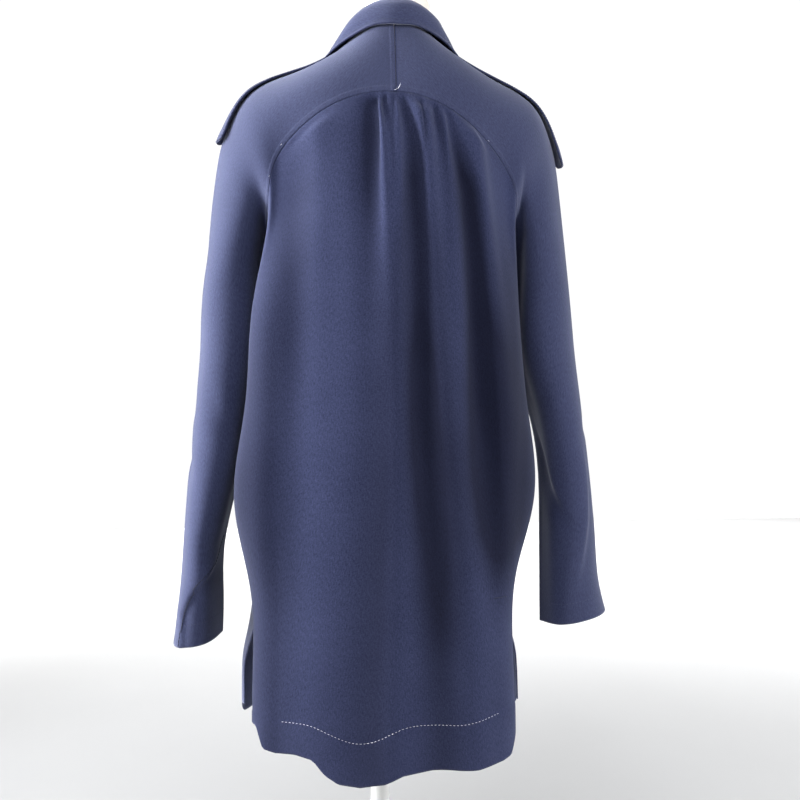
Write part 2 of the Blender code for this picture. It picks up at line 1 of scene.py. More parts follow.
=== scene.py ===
"""How the blazer on its dress form looks. Every piece of cloth is a thin shell on the same surface
as its solid, with its creases, seams and stitches.
"""

import math

import bmesh
import bpy
import numpy as np
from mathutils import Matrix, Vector
from mathutils.bvhtree import BVHTree


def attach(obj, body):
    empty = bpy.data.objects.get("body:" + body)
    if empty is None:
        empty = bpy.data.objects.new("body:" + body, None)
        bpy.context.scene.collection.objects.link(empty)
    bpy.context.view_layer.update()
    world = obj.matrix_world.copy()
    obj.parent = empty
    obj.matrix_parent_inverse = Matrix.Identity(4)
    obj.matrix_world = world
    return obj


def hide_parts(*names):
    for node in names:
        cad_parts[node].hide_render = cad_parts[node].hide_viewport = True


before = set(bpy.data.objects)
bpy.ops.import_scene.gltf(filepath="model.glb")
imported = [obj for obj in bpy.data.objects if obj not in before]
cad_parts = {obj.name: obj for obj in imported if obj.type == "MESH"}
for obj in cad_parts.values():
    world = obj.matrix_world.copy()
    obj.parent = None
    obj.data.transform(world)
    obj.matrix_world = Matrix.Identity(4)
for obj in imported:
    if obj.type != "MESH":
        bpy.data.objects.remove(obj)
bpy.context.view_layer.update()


def metres(table):
    """An array in metres, from a table written in millimetres."""
    return np.array(table) / 1000


LEFT, RIGHT = 1, -1
# What divides a row of creases on the body, and on a sleeve, where only z and depth are lengths
ON_BODY = 1000
ON_TUBE = (1, 1000, 1, 1, 1000)

# Cloth
WALL = 0.0016
LAYER_GAP = 0.0048

# The garment's middle hangs a little to the wearer's right of the stand's pole.
MIDDLE_X = -0.010

# Body: a row for each level, evenly spaced from BODY_TOP down. Across it, back is the middle of the
# back, flare its widest point on either side, side the side seam, breast the front's corner and
# front the middle of the front. Columns end in x left, x right or y.
BODY_TOP = 1.40
BODY_STEP = 0.1125
BODY_COLUMNS = (
    "back_y", "flare_left", "flare_right", "flare_y", "side_left", "side_right", "side_y",
    "breast_left", "breast_right", "breast_y", "front_y",
)
BODY = metres((
    (80, 90, 110, 55, 90, 110, 20, 80, 100, -26, -36),
    (119, 138, 158, 78, 140, 160, 20, 116, 136, -72, -88),
    (131, 143, 160, 81, 146, 166, 12, 130, 150, -82, -122),
    (131, 160, 165, 73, 130, 144, 0, 132, 142, -90, -128),
    (129, 168, 177, 71, 138, 150, 0, 136, 146, -92, -124),
    (129, 181, 186, 71, 158, 166, 4, 150, 156, -90, -126),
    (127, 160, 158, 75, 157, 157, 28, 159, 162, -80, -126),
    (121, 156, 156, 80, 158, 157, 56, 168, 174, -78, -122),
    (115, 155, 158, 82, 156, 159, 58, 170, 178, -78, -120),
))
# Below the vents the side edges of the fronts stand off the back: how far out and how far forward.
VENT_TOP, VENT_SPREAD_AT = 0.700, 0.605
VENT_SPREAD, VENT_FORWARD = {LEFT: 0.018, RIGHT: 0.028}, -0.070
BACK_ROUNDNESS = 2.4
FRONT_ROUNDNESS = 2.2

# Shoulder: sections from the neck and centre back seam (first) to the underarm (last). Each goes
# from the yoke seam on the back, over the shoulder, to the front raglan seam: (out, y, z).
SHOULDER_COLUMNS = ("yoke_seam", "rise", "blade", "ridge", "chest", "drop", "front_seam")
SHOULDER = metres((
    ((0, 112, 1318), (0, 98, 1370), (0, 70, 1428), (58, 28, 1403), (61, -10, 1380), (58, -38, 1353),
     (52, -60, 1328)),
    ((50, 113, 1311), (56, 102, 1353), (64, 73, 1389), (100, 30, 1370), (98, -18, 1350),
     (88, -50, 1318), (76, -70, 1288)),
    ((100, 108, 1284), (110, 98, 1322), (122, 70, 1350), (140, 28, 1357), (138, -22, 1334),
     (124, -58, 1292), (106, -82, 1240)),
    ((138, 93, 1244), (154, 89, 1282), (168, 68, 1314), (178, 26, 1334), (176, -24, 1308),
     (156, -58, 1256), (130, -80, 1196)),
    ((150, 83, 1196), (166, 84, 1232), (188, 64, 1268), (204, 20, 1292), (199, -28, 1264),
     (178, -60, 1214), (148, -60, 1166)),
    ((156, 12, 1150), (166, 66, 1172), (196, 66, 1206), (219, 12, 1240), (210, -40, 1210),
     (182, -60, 1176), (156, 12, 1150)),
))
UNDERARM = len(SHOULDER) - 1
NAPE = 2
# The share of the shoulder's slope beside the centre back seam that is rounded away
CROWN = 0.85
# How the sides differ, section by section: the right yoke seam hangs lower, the left shoulder
# slopes more by the neck, and the right one is wider.
YOKE_DROP = {LEFT: (0, 0, 0, 0, 0, 0), RIGHT: (0, 0.004, 0.010, 0.012, 0.006, 0)}
RIDGE_DROP = {LEFT: (0.009, 0.008, 0.003, 0, 0, 0), RIGHT: (0, 0.001, -0.001, -0.001, 0, 0)}
WIDER = {LEFT: (0, 0, 0.001, 0.002, 0.001, 0), RIGHT: (0, 0.002, 0.002, 0.007, 0.006, 0.004)}

# Sleeve below the underarm, a row for each level: z, outer x, inner x, middle y, half depth, and
# how far the outer side tilts up.
SLEEVE = {
    LEFT: metres((
        (1100, 226, 150, -4, 66, 0), (1020, 230, 156, -6, 66, 0), (940, 237, 168, -6, 65, 0),
        (860, 244, 181, -2, 64, 0), (780, 249, 198, 2, 62, 0), (710, 254, 200, 4, 58, -2),
        (659, 261, 201, 4, 54, -4),
    )),
    RIGHT: metres((
        (1100, 252, 168, -10, 64, 0), (1020, 261, 176, -14, 62, 0), (940, 273, 204, -20, 58, 0),
        (860, 285, 219, -26, 56, 0), (780, 295, 221, -30, 52, 0), (715, 302, 222, -34, 47, 3),
        (662, 314, 223, -36, 43, 8),
    )),
}

# Hem of the back, from its right edge to its left: (x, z). It hangs lowest left of the middle.
HEM_LEVEL = 0.54
BACK_HEM = metres((
    (-160, 550), (-151, 527.5), (-140, 524), (-107, 520), (-53, 521), (-18, 518), (4, 509), (33, 505),
    (58, 510), (74, 521), (88, 538), (110, 543), (134, 543), (147, 547), (154, 572),
))
# The share of the front's upper edge that is the raglan seam
NECK_PART = 0.6
FRONT_HEM = {LEFT: 0.562, RIGHT: 0.556}
FRONT_HEM_DROP, FRONT_HEM_CORNER = 0.024, 0.2

# Large folds of the back, which hang from the gathers under the yoke, as rows of (x, z, half width
# towards +x, half width towards -x, depth) where each starts, at the waist and at the hem
BACK_FOLDS = (
    ((12.5, 1318, 5, 5, 6), (-3, 950, 20, 20, 4), (6, 520, 24, 24, 4)),
    ((-10, 1318, 4, 4, 3), (-12, 950, 10, 10, 0), (-12, 520, 10, 10, 0)),
    ((-38, 1318, 9, 9, 7), (-62, 950, 20, 20, 9), (-88, 520, 30, 30, 5)),
    ((-64, 1318, 5, 5, 3.5), (-85, 950, 12, 12, 0), (-100, 520, 20, 20, 0)),
    ((-98, 1318, 10, 10, 8), (-130, 950, 19, 19, 10), (-150, 520, 20, 20, 2)),
    ((85, 1318, 18, 18, 5), (87, 950, 26, 26, 3), (90, 520, 30, 30, 1)),
)
GATHER_RISE = 0.022
# Shares of the back's width at evenly counted columns: close together under the gathers.
BACK_SHARES = ((0, -1.0), (6, -0.52), (34, 0.20), (43, 1.0))

# Opening of the fronts: the roll line leaves the collar, crosses the middle and meets the top
# button. out is measured from the garment's middle.
ROLL_TOP = (0.046, 1.322)
ROLL_END = (-0.018, 1.100)
LAPEL_START = {LEFT: 0.31, RIGHT: 0}
LAPEL_EDGE = {
    LEFT: metres(((6, 1171), (34, 1183), (64, 1210), (89, 1256), (104, 1296))),
    RIGHT: metres(((-10, 1106), (34, 1152), (66, 1205), (89, 1256), (104, 1296))),
}
LAPEL_LIFT = (0.0026, 0.0050)

# Collar, from centre back to its front end: (out, y, z) of the neck seam, stand, roll, fall, edge.
# It sits a little farther right than the yoke, and higher on that side. Its neck seam then follows
# the yoke's edge, met at these places across the sleeve's net.
COLLAR_X, COLLAR_TILT = -0.0125, 0.054
COLLAR_MEETS = (2, 2.5, 3, 4, 5, 6)
COLLAR = metres((
    ((0, 70.5, 1430.5), (0, 69, 1440), (0, 72.5, 1447.5), (0, 86, 1434), (0, 95, 1409.5)),
    ((31, 51, 1422), (29, 50, 1433), (34, 54.5, 1443.5), (45.5, 66.5, 1430), (55, 72, 1406.5)),
    ((55, 26, 1411), (50, 24, 1423), (50.5, 23, 1429), (65, 28, 1411), (89, 31, 1384)),
    ((60, -10, 1385), (56, -12, 1396), (55, -15, 1403), (72, -18, 1388), (92, -20, 1361)),
    ((56, -40, 1356), (53, -43, 1365), (52, -48, 1371.5), (67, -56, 1356), (85, -63, 1331)),
    ((48, -64, 1331), (47, -67, 1334), (47, -70, 1337), (61, -76, 1330), (76, -81, 1316)),
))
COLLAR_WALL, COLLAR_GAP = 0.0020, 0.0015

# Shoulder tabs, in places on the sleeve's net: along it, and half the width across it
TAB_START, TAB_POINT = 0.95, 0.45
TAB_END = {LEFT: 4.40, RIGHT: 4.75}
TAB_MIDDLE, TAB_HALF_WIDTH = 2.95, 0.46
TAB_LIFT = {LEFT: (0.0036, 0.0044, 0.0080), RIGHT: (0.0042, 0.0044, 0.0100)}
TAB_WALL = 0.0024

# Dress form: z, half width, front y and back y of each ring, from the bottom. It leans a little to
# the wearer's right on its pole.
FORM = metres((
    (760, 128, -82, 72), (768, 138, -90, 80), (800, 146, -96, 90), (860, 148, -98, 96),
    (920, 138, -94, 90), (980, 122, -86, 78), (1030, 112, -82, 72), (1080, 113, -90, 80),
    (1130, 120, -102, 92), (1180, 126, -106, 102), (1230, 130, -92, 104), (1280, 132, -66, 98),
    (1315, 126, -46, 90), (1336, 106, -34, 80), (1352, 82, -28, 70), (1368, 58, -26, 62),
    (1386, 47, -25, 57), (1410, 43, -24, 53), (1435, 42, -22, 52), (1464, 42, -21, 52),
    (1469, 40, -20, 50), (1471, 36, -18, 46),
))
FORM_LEAN = -0.032


def spline_weights(count, places):
    """Weights of evenly spaced values, a row for each place, for the smooth curve through them."""
    through = np.eye(count)
    for i in range(1, count - 1):
        through[i, i - 1:i + 2] = (1 / 6, 4 / 6, 1 / 6)
    padded = np.zeros((count + 2, count))
    padded[1:-1] = np.eye(count)
    padded[0, :2] = (2, -1)
    padded[-1, -2:] = (-1, 2)
    places = np.asarray(places, float).ravel()
    start = np.clip(places.astype(int), 0, count - 2)
    t = places - start
    parts = ((1 - t) ** 3, 3 * t ** 3 - 6 * t ** 2 + 4, -3 * t ** 3 + 3 * t ** 2 + 3 * t + 1, t ** 3)
    basis = np.zeros((len(places), count + 2))
    for k, part in enumerate(parts):
        basis[np.arange(len(places)), start + k] = part / 6
    return basis @ padded @ np.linalg.inv(through)


def on_net(net, down, across):
    """Points of the smooth surface through a net of sections, at paired places."""
    rows = spline_weights(net.shape[0], down)
    columns = spline_weights(net.shape[1], across)
    return np.einsum("kr,kc,rcx->kx", rows, columns, net)


def ease(t):
    """From 0 to 1, level at both ends."""
    t = np.clip(t, 0, 1)
    return t * t * (3 - 2 * t)


def body_net(middle, corner, roundness, shares):
    """The back or the front: at each level a flattened arc from its middle to a corner on either
    side, met at these shares of its width, and then the side seam."""
    net = []
    for k, row in enumerate(BODY):
        at = dict(zip(BODY_COLUMNS, row))
        z = BODY_TOP - k * BODY_STEP
        middle_y, corner_y = at[middle + "_y"], at[corner + "_y"]
        halves = []
        for side, name in ((RIGHT, "right"), (LEFT, "left")):
            half = []
            for share in shares:
                y = corner_y + (middle_y - corner_y) * (1 - share ** roundness) ** (1 / roundness)
                half.append((side * share * at[corner + "_" + name], y, z))
            halves.append(half + [(side * at["side_" + name], at["side_y"], z)])
        net.append(halves[0][::-1] + [(0, middle_y, z)] + halves[1])
    return np.array(net)


def sleeve_net(side):
    """The sections of the shoulder, then those of the sleeve, in the garment's own place."""
    net = []
    for k, section in enumerate(SHOULDER):
        row = []
        for name, (out, y, z) in zip(SHOULDER_COLUMNS, section):
            at_nape = k == 0 and name == "blade"
            if name in ("blade", "ridge", "chest") and not at_nape:
                out += WIDER[side][k]
                z -= RIDGE_DROP[side][k]
            if name == "yoke_seam":
                z -= YOKE_DROP[side][k]
            row.append((MIDDLE_X + side * out, y, z))
        net.append(row)
    turns = np.arange(7) * math.tau / 6
    for z, outer, inner, middle_y, half_depth, tilt in SLEEVE[side]:
        x = side * ((outer + inner) / 2 - (outer - inner) / 2 * np.cos(turns))
        y = middle_y + half_depth * np.sin(turns)
        net.append(list(zip(x, y, z - tilt * np.cos(turns))))
    return np.array(net)


BACK_NET = body_net("back", "flare", BACK_ROUNDNESS, (0.45, 0.80, 1))
FRONT_NET = body_net("front", "breast", FRONT_ROUNDNESS, (0.55, 1))
SLEEVE_NETS = {side: sleeve_net(side) for side in (LEFT, RIGHT)}


def on_back(share, z):
    """The back at a share of its width, -1 at the right side seam and 1 at the left, and a level."""
    return on_net(BACK_NET, (BODY_TOP - z) / BODY_STEP, 4 + 4 * share)


def on_front(share, z):
    """The front at a share of its width and a level. Its side edges spread below the vents."""
    share, z = (values.ravel() for values in np.broadcast_arrays(np.asarray(share, float), z))
    points = on_net(FRONT_NET, (BODY_TOP - z) / BODY_STEP, 3 + 3 * share)
    spread = ease((VENT_TOP - z) / (VENT_TOP - VENT_SPREAD_AT)) * ease(3 * abs(share) - 2)
    for side, out in VENT_SPREAD.items():
        points[:, 0] += np.where(share * side > 0, side * out * spread, 0)
    points[:, 1] += VENT_FORWARD * spread
    return points


def share_near(on_body, point, side):
    """The share of the body's width whose point at the same level lies nearest."""
    shares = side * np.linspace(-0.3, 1, 391)
    found = on_body(shares, np.full(len(shares), point[2]))
    return shares[np.argmin(np.linalg.norm(found - point, axis=1))]


def normals(grid):
    """Unit normals of a grid of points, to the side that its rows and columns turn towards."""
    down = np.gradient(grid, axis=0)
    across = np.gradient(grid, axis=1)
    crossed = np.cross(down, across)
    return crossed / np.maximum(np.linalg.norm(crossed, axis=2, keepdims=True), 1e-9)


def crease_depth(table, x, z, unit=ON_BODY):
    """How deep creases lie at each place: each runs down a smooth line, wider or sharper by side."""
    total = np.zeros_like(x)
    for line in table:
        rows = sorted(line, key=lambda row: row[1])
        middle_x, levels, plus, minus, depth = (np.array(rows) / unit).T
        aside = x - np.interp(z, levels, middle_x)
        width = np.where(aside > 0, np.interp(z, levels, plus), np.interp(z, levels, minus))
        total += np.interp(z, levels, depth) * np.exp(-((aside / width) ** 2))
    return total


def hanging_from(top, body, top_share, hem_share, hem_z, rows):
    """A column of cloth from a point on a seam, along a surface of the body, to the hem."""
    down = np.linspace(0, 1, rows)
    shares = top_share + (hem_share - top_share) * ease(down / 0.4)
    offset = top - body(top_share, top[2])[0]
    return body(shares, top[2] + (hem_z - top[2]) * down) + offset * (1 - ease(down / 0.3))[:, None]


def back_grid(shares_across, rows):
    """Columns hang from places along the yoke seam down to the hem."""
    grid = np.zeros((rows, len(shares_across), 3))
    for k, share in enumerate(shares_across):
        side = LEFT if share >= 0 else RIGHT
        seam = on_sleeve(side, UNDERARM * abs(share), 0)
        top_share = share_near(on_back, seam, side)
        hem_z = np.interp(on_back(share, HEM_LEVEL)[0, 0], *BACK_HEM.T)
        grid[:, k] = hanging_from(seam, on_back, top_share, share, hem_z, rows)
    x, z = grid[:, :, 0], grid[:, :, 2]
    below = ease((z[0] - z) / GATHER_RISE)
    middle = ease((0.17 - abs(x - MIDDLE_X)) / 0.03)
    return grid + normals(grid) * (-crease_depth(BACK_FOLDS, x, z) * below * middle)[:, :, None]


def front_share(side, out, z):
    """The share of the front's width that lies out from the middle by this much."""
    shares = side * np.linspace(-0.35, 1, 271)
    found = on_front(shares, np.full(len(shares), z))
    order = np.argsort(found[:, 0])
    return np.interp(MIDDLE_X + side * out, found[order, 0], shares[order])


def under_front(share, z):
    """A place on the left front, which passes under the right one at the middle."""
    point = on_front(share, z)
    point[:, 1] += LAYER_GAP * (1 - ease((abs(point[:, 0] - MIDDLE_X) - 0.022) / 0.03))
    return point


FRONT_LAYER = {LEFT: under_front, RIGHT: on_front}


def front_top(side, part):
    """The front's upper edge: the raglan seam from the underarm, then the roll line to its end."""
    if part < NECK_PART:
        return on_sleeve(side, UNDERARM * (1 - part / NECK_PART), len(SHOULDER_COLUMNS) - 1)
    down = (part - NECK_PART) / (1 - NECK_PART)
    out, z = (top + (end - top) * down for top, end in zip(ROLL_TOP, ROLL_END))
    return FRONT_LAYER[side](front_share(side, out, z), z)[0]


def front_grid(side, columns, rows):
    """Columns hang from places along the raglan seam and the roll line down to the hem."""
    grid = np.zeros((rows, columns, 3))
    hem_edge = front_share(side, ROLL_END[0], FRONT_HEM[side])
    for k, part in enumerate(np.linspace(0, 1, columns)):
        top = front_top(side, part)
        top_share = share_near(on_front, top, side)
        hem_share = side + (hem_edge - side) * part
        hem_z = FRONT_HEM[side] - FRONT_HEM_DROP * ease(part / FRONT_HEM_CORNER)
        grid[:, k] = hanging_from(top, FRONT_LAYER[side], top_share, hem_share, hem_z, rows)
    return grid


def lapel_grid(side, columns, rows):
    """The turned back part of a front: its points moved out from the front's."""
    grid = np.zeros((rows, columns, 3))
    edge_out, edge_z = LAPEL_EDGE[side].T
    start = LAPEL_START[side]
    for k, part in enumerate(np.linspace(0, 1, rows)):
        along = start + (1 - start) * part
        roll = [end + (top - end) * along for end, top in zip(ROLL_END, ROLL_TOP)]
        weights = spline_weights(len(edge_out), part * (len(edge_out) - 1))[0]
        edge = (weights @ edge_out, weights @ edge_z)
        for j, across in enumerate(np.linspace(0, 1, columns)):
            out, z = (a + (b - a) * across for a, b in zip(roll, edge))
            grid[k, j] = FRONT_LAYER[side](front_share(side, out, z), z)[0]
            lift = np.interp(across, (0, 1), LAPEL_LIFT)
            grid[k, j, 1] -= lift + 0.004 * math.sin(math.pi * across) * part
    return grid


def on_sleeve(side, down, across):
    """Points of a sleeve. Its centre back edge, from the yoke seam to the nape, is kept straight, and
    the yoke leaves it level."""
    down, across = np.broadcast_arrays(np.asarray(down, float), np.asarray(across, float))
    v, u = down.ravel(), across.ravel()
    points = on_net(SLEEVE_NETS[side], v, u)
    edge = on_net(SLEEVE_NETS[side], np.zeros(u.size), u)
    next_section = on_net(SLEEVE_NETS[side], np.ones(u.size), u)
    bend = np.where(u < NAPE, edge[:, 0] - MIDDLE_X, 0)
    points[:, 0] -= bend * (1 - ease(v))
    slope = (edge[:, 2] - next_section[:, 2]) * (1 - ease(u - NAPE))
    points[:, 2] += CROWN * slope * np.where(v < 1, v * (1 - v) ** 2, 0)
    return points.reshape(*down.shape, 3)


def sleeve_grid(side, down, across):
    """Half a yoke and its sleeve, closed into a tube from the underarm down."""
    grid = on_sleeve(side, *np.meshgrid(down, across, indexing="ij"))
    closed = down >= UNDERARM
    grid[closed, 0] = grid[closed, -1] = (grid[closed, 0] + grid[closed, -1]) / 2
    return grid


def collar_grid(around, across):
    """From the right front end round the back to the left front end, up from the yoke's edge."""
    net = np.concatenate([COLLAR[:0:-1] * (-1, 1, 1), COLLAR])
    net[:, :, 2] -= COLLAR_TILT * net[:, :, 0]
    net[:, :, 0] += COLLAR_X
    end = len(COLLAR) - 1
    places = np.linspace(0, 2 * end, around)
    v, u = np.meshgrid(places, np.linspace(0, net.shape[1] - 1, across), indexing="ij")
    grid = on_net(net, v, u).reshape(around, across, 3)
    meets = np.interp(abs(places - end), np.arange(len(COLLAR_MEETS)), COLLAR_MEETS)
    seam = np.where((places < end)[:, None], on_sleeve(RIGHT, 0, meets), on_sleeve(LEFT, 0, meets))
    seam[:, 2] += COLLAR_GAP
    return grid + np.clip(1 - u, 0, 1)[:, :, None] * (seam[:, None] - grid[:, :1])


def tab_grid(side, along, across):
    """A strap on the ridge of the shoulder, with a rounded free end."""
    v = np.linspace(TAB_START, TAB_END[side], along)
    end = np.clip((v - (TAB_END[side] - TAB_POINT)) / TAB_POINT, 0, 1)
    half = TAB_HALF_WIDTH * np.sqrt(1 - 0.88 * end ** 2)
    grid = on_sleeve(side, v[:, None], TAB_MIDDLE + half[:, None] * np.linspace(-1, 1, across))
    lift = np.interp(v, (TAB_START, 2.5, TAB_END[side]), TAB_LIFT[side])
    out = normals(grid)
    if out[0, 0, 2] < 0:
        out = -out
    return grid + out * lift[:, None, None]


# ---- creases ----

# Soft troughs, and ridges with a negative depth, each down the cloth through rows as in BACK_FOLDS
BACK_CREASES = (
    # the broad trough beside the left raglan seam
    ((92, 1270, 14, 22, 2), (94, 1235, 20, 30, 7), (95, 1180, 30, 36, 10), (97, 1000, 42, 42, 12),
     (104, 850, 44, 44, 12.5), (112, 720, 40, 46, 12), (118, 580, 36, 44, 9)),
    ((110, 1235, 10, 14, 1.2), (116, 1180, 14, 18, 2.6), (112, 1000, 16, 20, 2.6),
     (118, 850, 16, 20, 0.6), (120, 750, 16, 20, 0)),
    # the deep pleat left of the middle, sharp on its right side
    ((13.2, 1305, 17, 3.6, 7.4), (15, 1270, 20, 4.4, 8.6), (16.6, 1210, 21, 8, 7),
     (14, 1130, 22, 13, 4), (6, 1020, 26, 18, 3), (6, 850, 34, 18, 4.2), (16, 600, 36, 22, 4.2)),
    ((4, 1312, 3.4, 3.4, 4.4), (3.6, 1295, 3.4, 3.4, 4), (3, 1265, 4, 4, 0)),
    ((-6, 1306, 3, 3, 2.4), (-7, 1285, 3.4, 3.4, 1.6), (-7, 1265, 4, 4, 0)),
    # the cloth between the two pleats turns towards the left
    ((-8, 1300, 10, 5, -1), (-9, 1270, 16, 7, -3), (-10, 1210, 20, 9, -3), (-8, 1130, 22, 14, -2),
     (-4, 1030, 24, 18, -0.8), (-4, 960, 24, 18, 0)),
    # the second pleat and the small gathers right of the middle
    ((-19.5, 1307, 10, 3.4, 3.4), (-28.5, 1270, 11, 6, 5), (-32, 1230, 13, 12, 6.4),
     (-34, 1150, 14, 18, 8), (-36, 1050, 16, 23, 8.8), (-40, 940, 20, 27, 9), (-48, 840, 24, 29, 8.8),
     (-60, 700, 29, 34, 8.2), (-66, 600, 32, 36, 6.4)),
    ((-40, 1306, 5, 3.4, 4.6), (-43, 1270, 4.4, 3.4, 4), (-45, 1230, 6, 5, 0)),
    ((-56, 1300, 5, 3.4, 3.6), (-60, 1270, 6, 5, 3.6), (-68, 1200, 10, 10, 1.8), (-70, 1120, 12, 12, 1),
     (-74, 1020, 12, 12, 0)),
    # the darkest pleat, towards the right sleeve, sharp on its left side
    ((-72, 1287, 6, 4, 3), (-81, 1250, 8.5, 8, 6.2), (-92, 1200, 11, 13, 9.2),
     (-98.5, 1130, 12, 16, 10.4), (-103, 1050, 13, 19, 11.4), (-108, 960, 15, 24, 11.4),
     (-118, 860, 20, 28, 9.2), (-129, 760, 20, 24, 5), (-134, 680, 18, 20, 1.5)),
    # the back stands full beside the right sleeve
    ((-128, 1210, 12, 20, 0), (-140, 1130, 16, 26, -3), (-144, 1030, 18, 30, -4.4),
     (-152, 930, 20, 34, -4), (-156, 830, 20, 34, 0)),
    # the swell over the right hip
    ((-90, 820, 14, 20, -1.2), (-100, 740, 20, 26, -3), (-108, 660, 26, 26, -3.6),
     (-112, 580, 26, 26, -2)),
)
# Painted shade on the back, where the sleeves and the pleats keep the light off it: depths that darken
# its colour
BACK_SHADED = (
    ((-130, 1200, 10, 30, 0), (-150, 1120, 34, 60, 6.6), (-146, 1000, 42, 60, 9.8),
     (-142, 900, 46, 60, 12), (-148, 800, 48, 60, 9.4), (-160, 720, 34, 50, 2), (-160, 660, 34, 50, 0)),
    ((158, 1200, 50, 20, 0), (160, 1100, 60, 26, 3.6), (166, 1000, 60, 36, 6.6), (170, 880, 60, 48, 8),
     (170, 740, 60, 56, 8), (168, 560, 60, 56, 6.4)),
    ((96, 1270, 20, 30, 0), (106, 1200, 24, 26, 4.6), (112, 1120, 30, 26, 4.8),
     (114, 1040, 30, 28, 3.6), (120, 900, 30, 30, 0)),
    ((-18, 1280, 6, 10, 0), (-20, 1215, 10, 12, 5), (-12, 1130, 14, 14, 5.8), (-12, 1030, 16, 18, 2.4),
     (-12, 950, 16, 18, 0)),
    ((-34, 1070, 12, 12, 0), (-37, 980, 18, 16, 4.4), (-38, 900, 20, 18, 4.8), (-41, 800, 22, 20, 2.6),
     (-46, 680, 22, 20, 1), (-50, 580, 22, 20, 0)),
    ((-78, 1265, 10, 12, 0), (-90, 1215, 20, 20, 3.2), (-96, 1150, 20, 20, 2.6),
     (-98, 1060, 18, 18, 0)),
    ((10, 1160, 20, 20, 0), (6, 1050, 30, 24, 2), (6, 900, 36, 28, 2.6), (12, 750, 40, 30, 2.8),
     (16, 560, 40, 30, 2)),
    ((-52, 1200, 8, 8, 0), (-60, 1120, 14, 14, 2), (-66, 1000, 18, 18, 3.2), (-74, 880, 22, 22, 3.6),
     (-80, 760, 26, 26, 2.6), (-80, 640, 26, 26, 0)),
)
# On the sleeves: (place round the tube, z, half width outwards, half width inwards, depth). Places
# and widths count from 0 at the inner side to 1.5 at the back and 3 at the outer side.
SLEEVE_CREASES = {
    LEFT: (
        # fullness behind the inner side
        ((0.75, 1170, 0.45, 0.35, 0), (0.75, 1080, 0.6, 0.4, -7), (0.78, 900, 0.6, 0.42, -8),
         (0.75, 800, 0.55, 0.4, -4), (0.75, 745, 0.5, 0.35, 0)),
        # the seam that turns from the inner side towards the cuff, full above it
        ((0.6, 780, 0.5, 0.16, 0), (0.78, 760, 0.7, 0.14, -2.4), (1, 748, 0.8, 0.12, -3.6),
         (1.75, 722, 0.6, 0.12, -4.6), (2.05, 700, 0.5, 0.12, -4.4), (2, 655, 0.5, 0.14, -3.4)),
        ((1.9, 990, 0.3, 0.3, 0), (1.7, 950, 0.45, 0.35, 1.8), (1.2, 920, 0.5, 0.4, 2.4),
         (0.7, 900, 0.4, 0.3, 0)),
        ((3.9, 1100, 0.4, 0.4, 0), (4, 1000, 0.5, 0.4, 4), (4.2, 880, 0.45, 0.4, 4.5),
         (4.4, 760, 0.4, 0.4, 0)),
        ((5.1, 1120, 0.3, 0.3, 0), (5, 1020, 0.3, 0.35, -3), (5.1, 900, 0.3, 0.35, 0)),
        # drag lines round the elbow and under the tab
        ((2.3, 850, 0.2, 0.26, 0), (2.8, 885, 0.3, 0.34, 3), (3.4, 925, 0.32, 0.36, 3.8),
         (4.2, 955, 0.26, 0.3, 0)),
        ((2.6, 925, 0.2, 0.26, 0), (3.1, 965, 0.26, 0.3, 2.4), (3.8, 1000, 0.3, 0.32, 2.6),
         (4.6, 1030, 0.26, 0.3, 0)),
        ((3.1, 1080, 0.16, 0.22, 0), (2.9, 1130, 0.22, 0.26, 2.2), (2.8, 1200, 0.24, 0.26, 0)),
    ),
    RIGHT: (
        # the dark fold below the armhole
        ((0.75, 1210, 0.22, 0.2, 2), (0.8, 1165, 0.3, 0.2, 5), (0.5, 1100, 0.3, 0.25, 5),
         (0.4, 1020, 0.24, 0.25, 3), (0.35, 950, 0.2, 0.3, 0)),
        ((1.1, 1170, 0.5, 0.3, 0), (1, 1060, 0.7, 0.42, -7), (0.8, 920, 0.7, 0.45, -8),
         (0.8, 800, 0.7, 0.45, -7), (0.9, 680, 0.6, 0.45, -4), (0.9, 620, 0.6, 0.45, -2)),
        # a drag line from the inner side, and the light ridge behind the elbow
        ((0.1, 925, 0.12, 0.3, 0), (0.3, 890, 0.13, 0.3, 3), (0.55, 850, 0.15, 0.35, 5),
         (0.9, 815, 0.2, 0.4, 4), (1.3, 780, 0.25, 0.4, 0)),
        ((1.95, 900, 0.12, 0.4, 0), (1.92, 860, 0.13, 0.5, -3), (1.8, 800, 0.14, 0.5, -4.2),
         (1.6, 755, 0.14, 0.45, -3.4), (1.35, 700, 0.16, 0.4, 0)),
        ((3.9, 1080, 0.4, 0.4, 0), (4.1, 980, 0.45, 0.4, 4), (4.2, 860, 0.45, 0.4, 3.6),
         (4.3, 740, 0.4, 0.4, 0)),
        ((2.2, 900, 0.2, 0.26, 0), (2.7, 930, 0.28, 0.3, 2.6), (3.3, 965, 0.3, 0.34, 3.6),
         (4.3, 1010, 0.26, 0.3, 0)),
        ((2.7, 800, 0.2, 0.26, 0), (3.2, 840, 0.28, 0.3, 2.8), (3.8, 870, 0.3, 0.32, 3),
         (4.4, 890, 0.26, 0.3, 0)),
        ((5.2, 1130, 0.3, 0.3, 0), (5, 1040, 0.3, 0.35, -2.6), (5, 920, 0.3, 0.35, 0)),
    ),
}
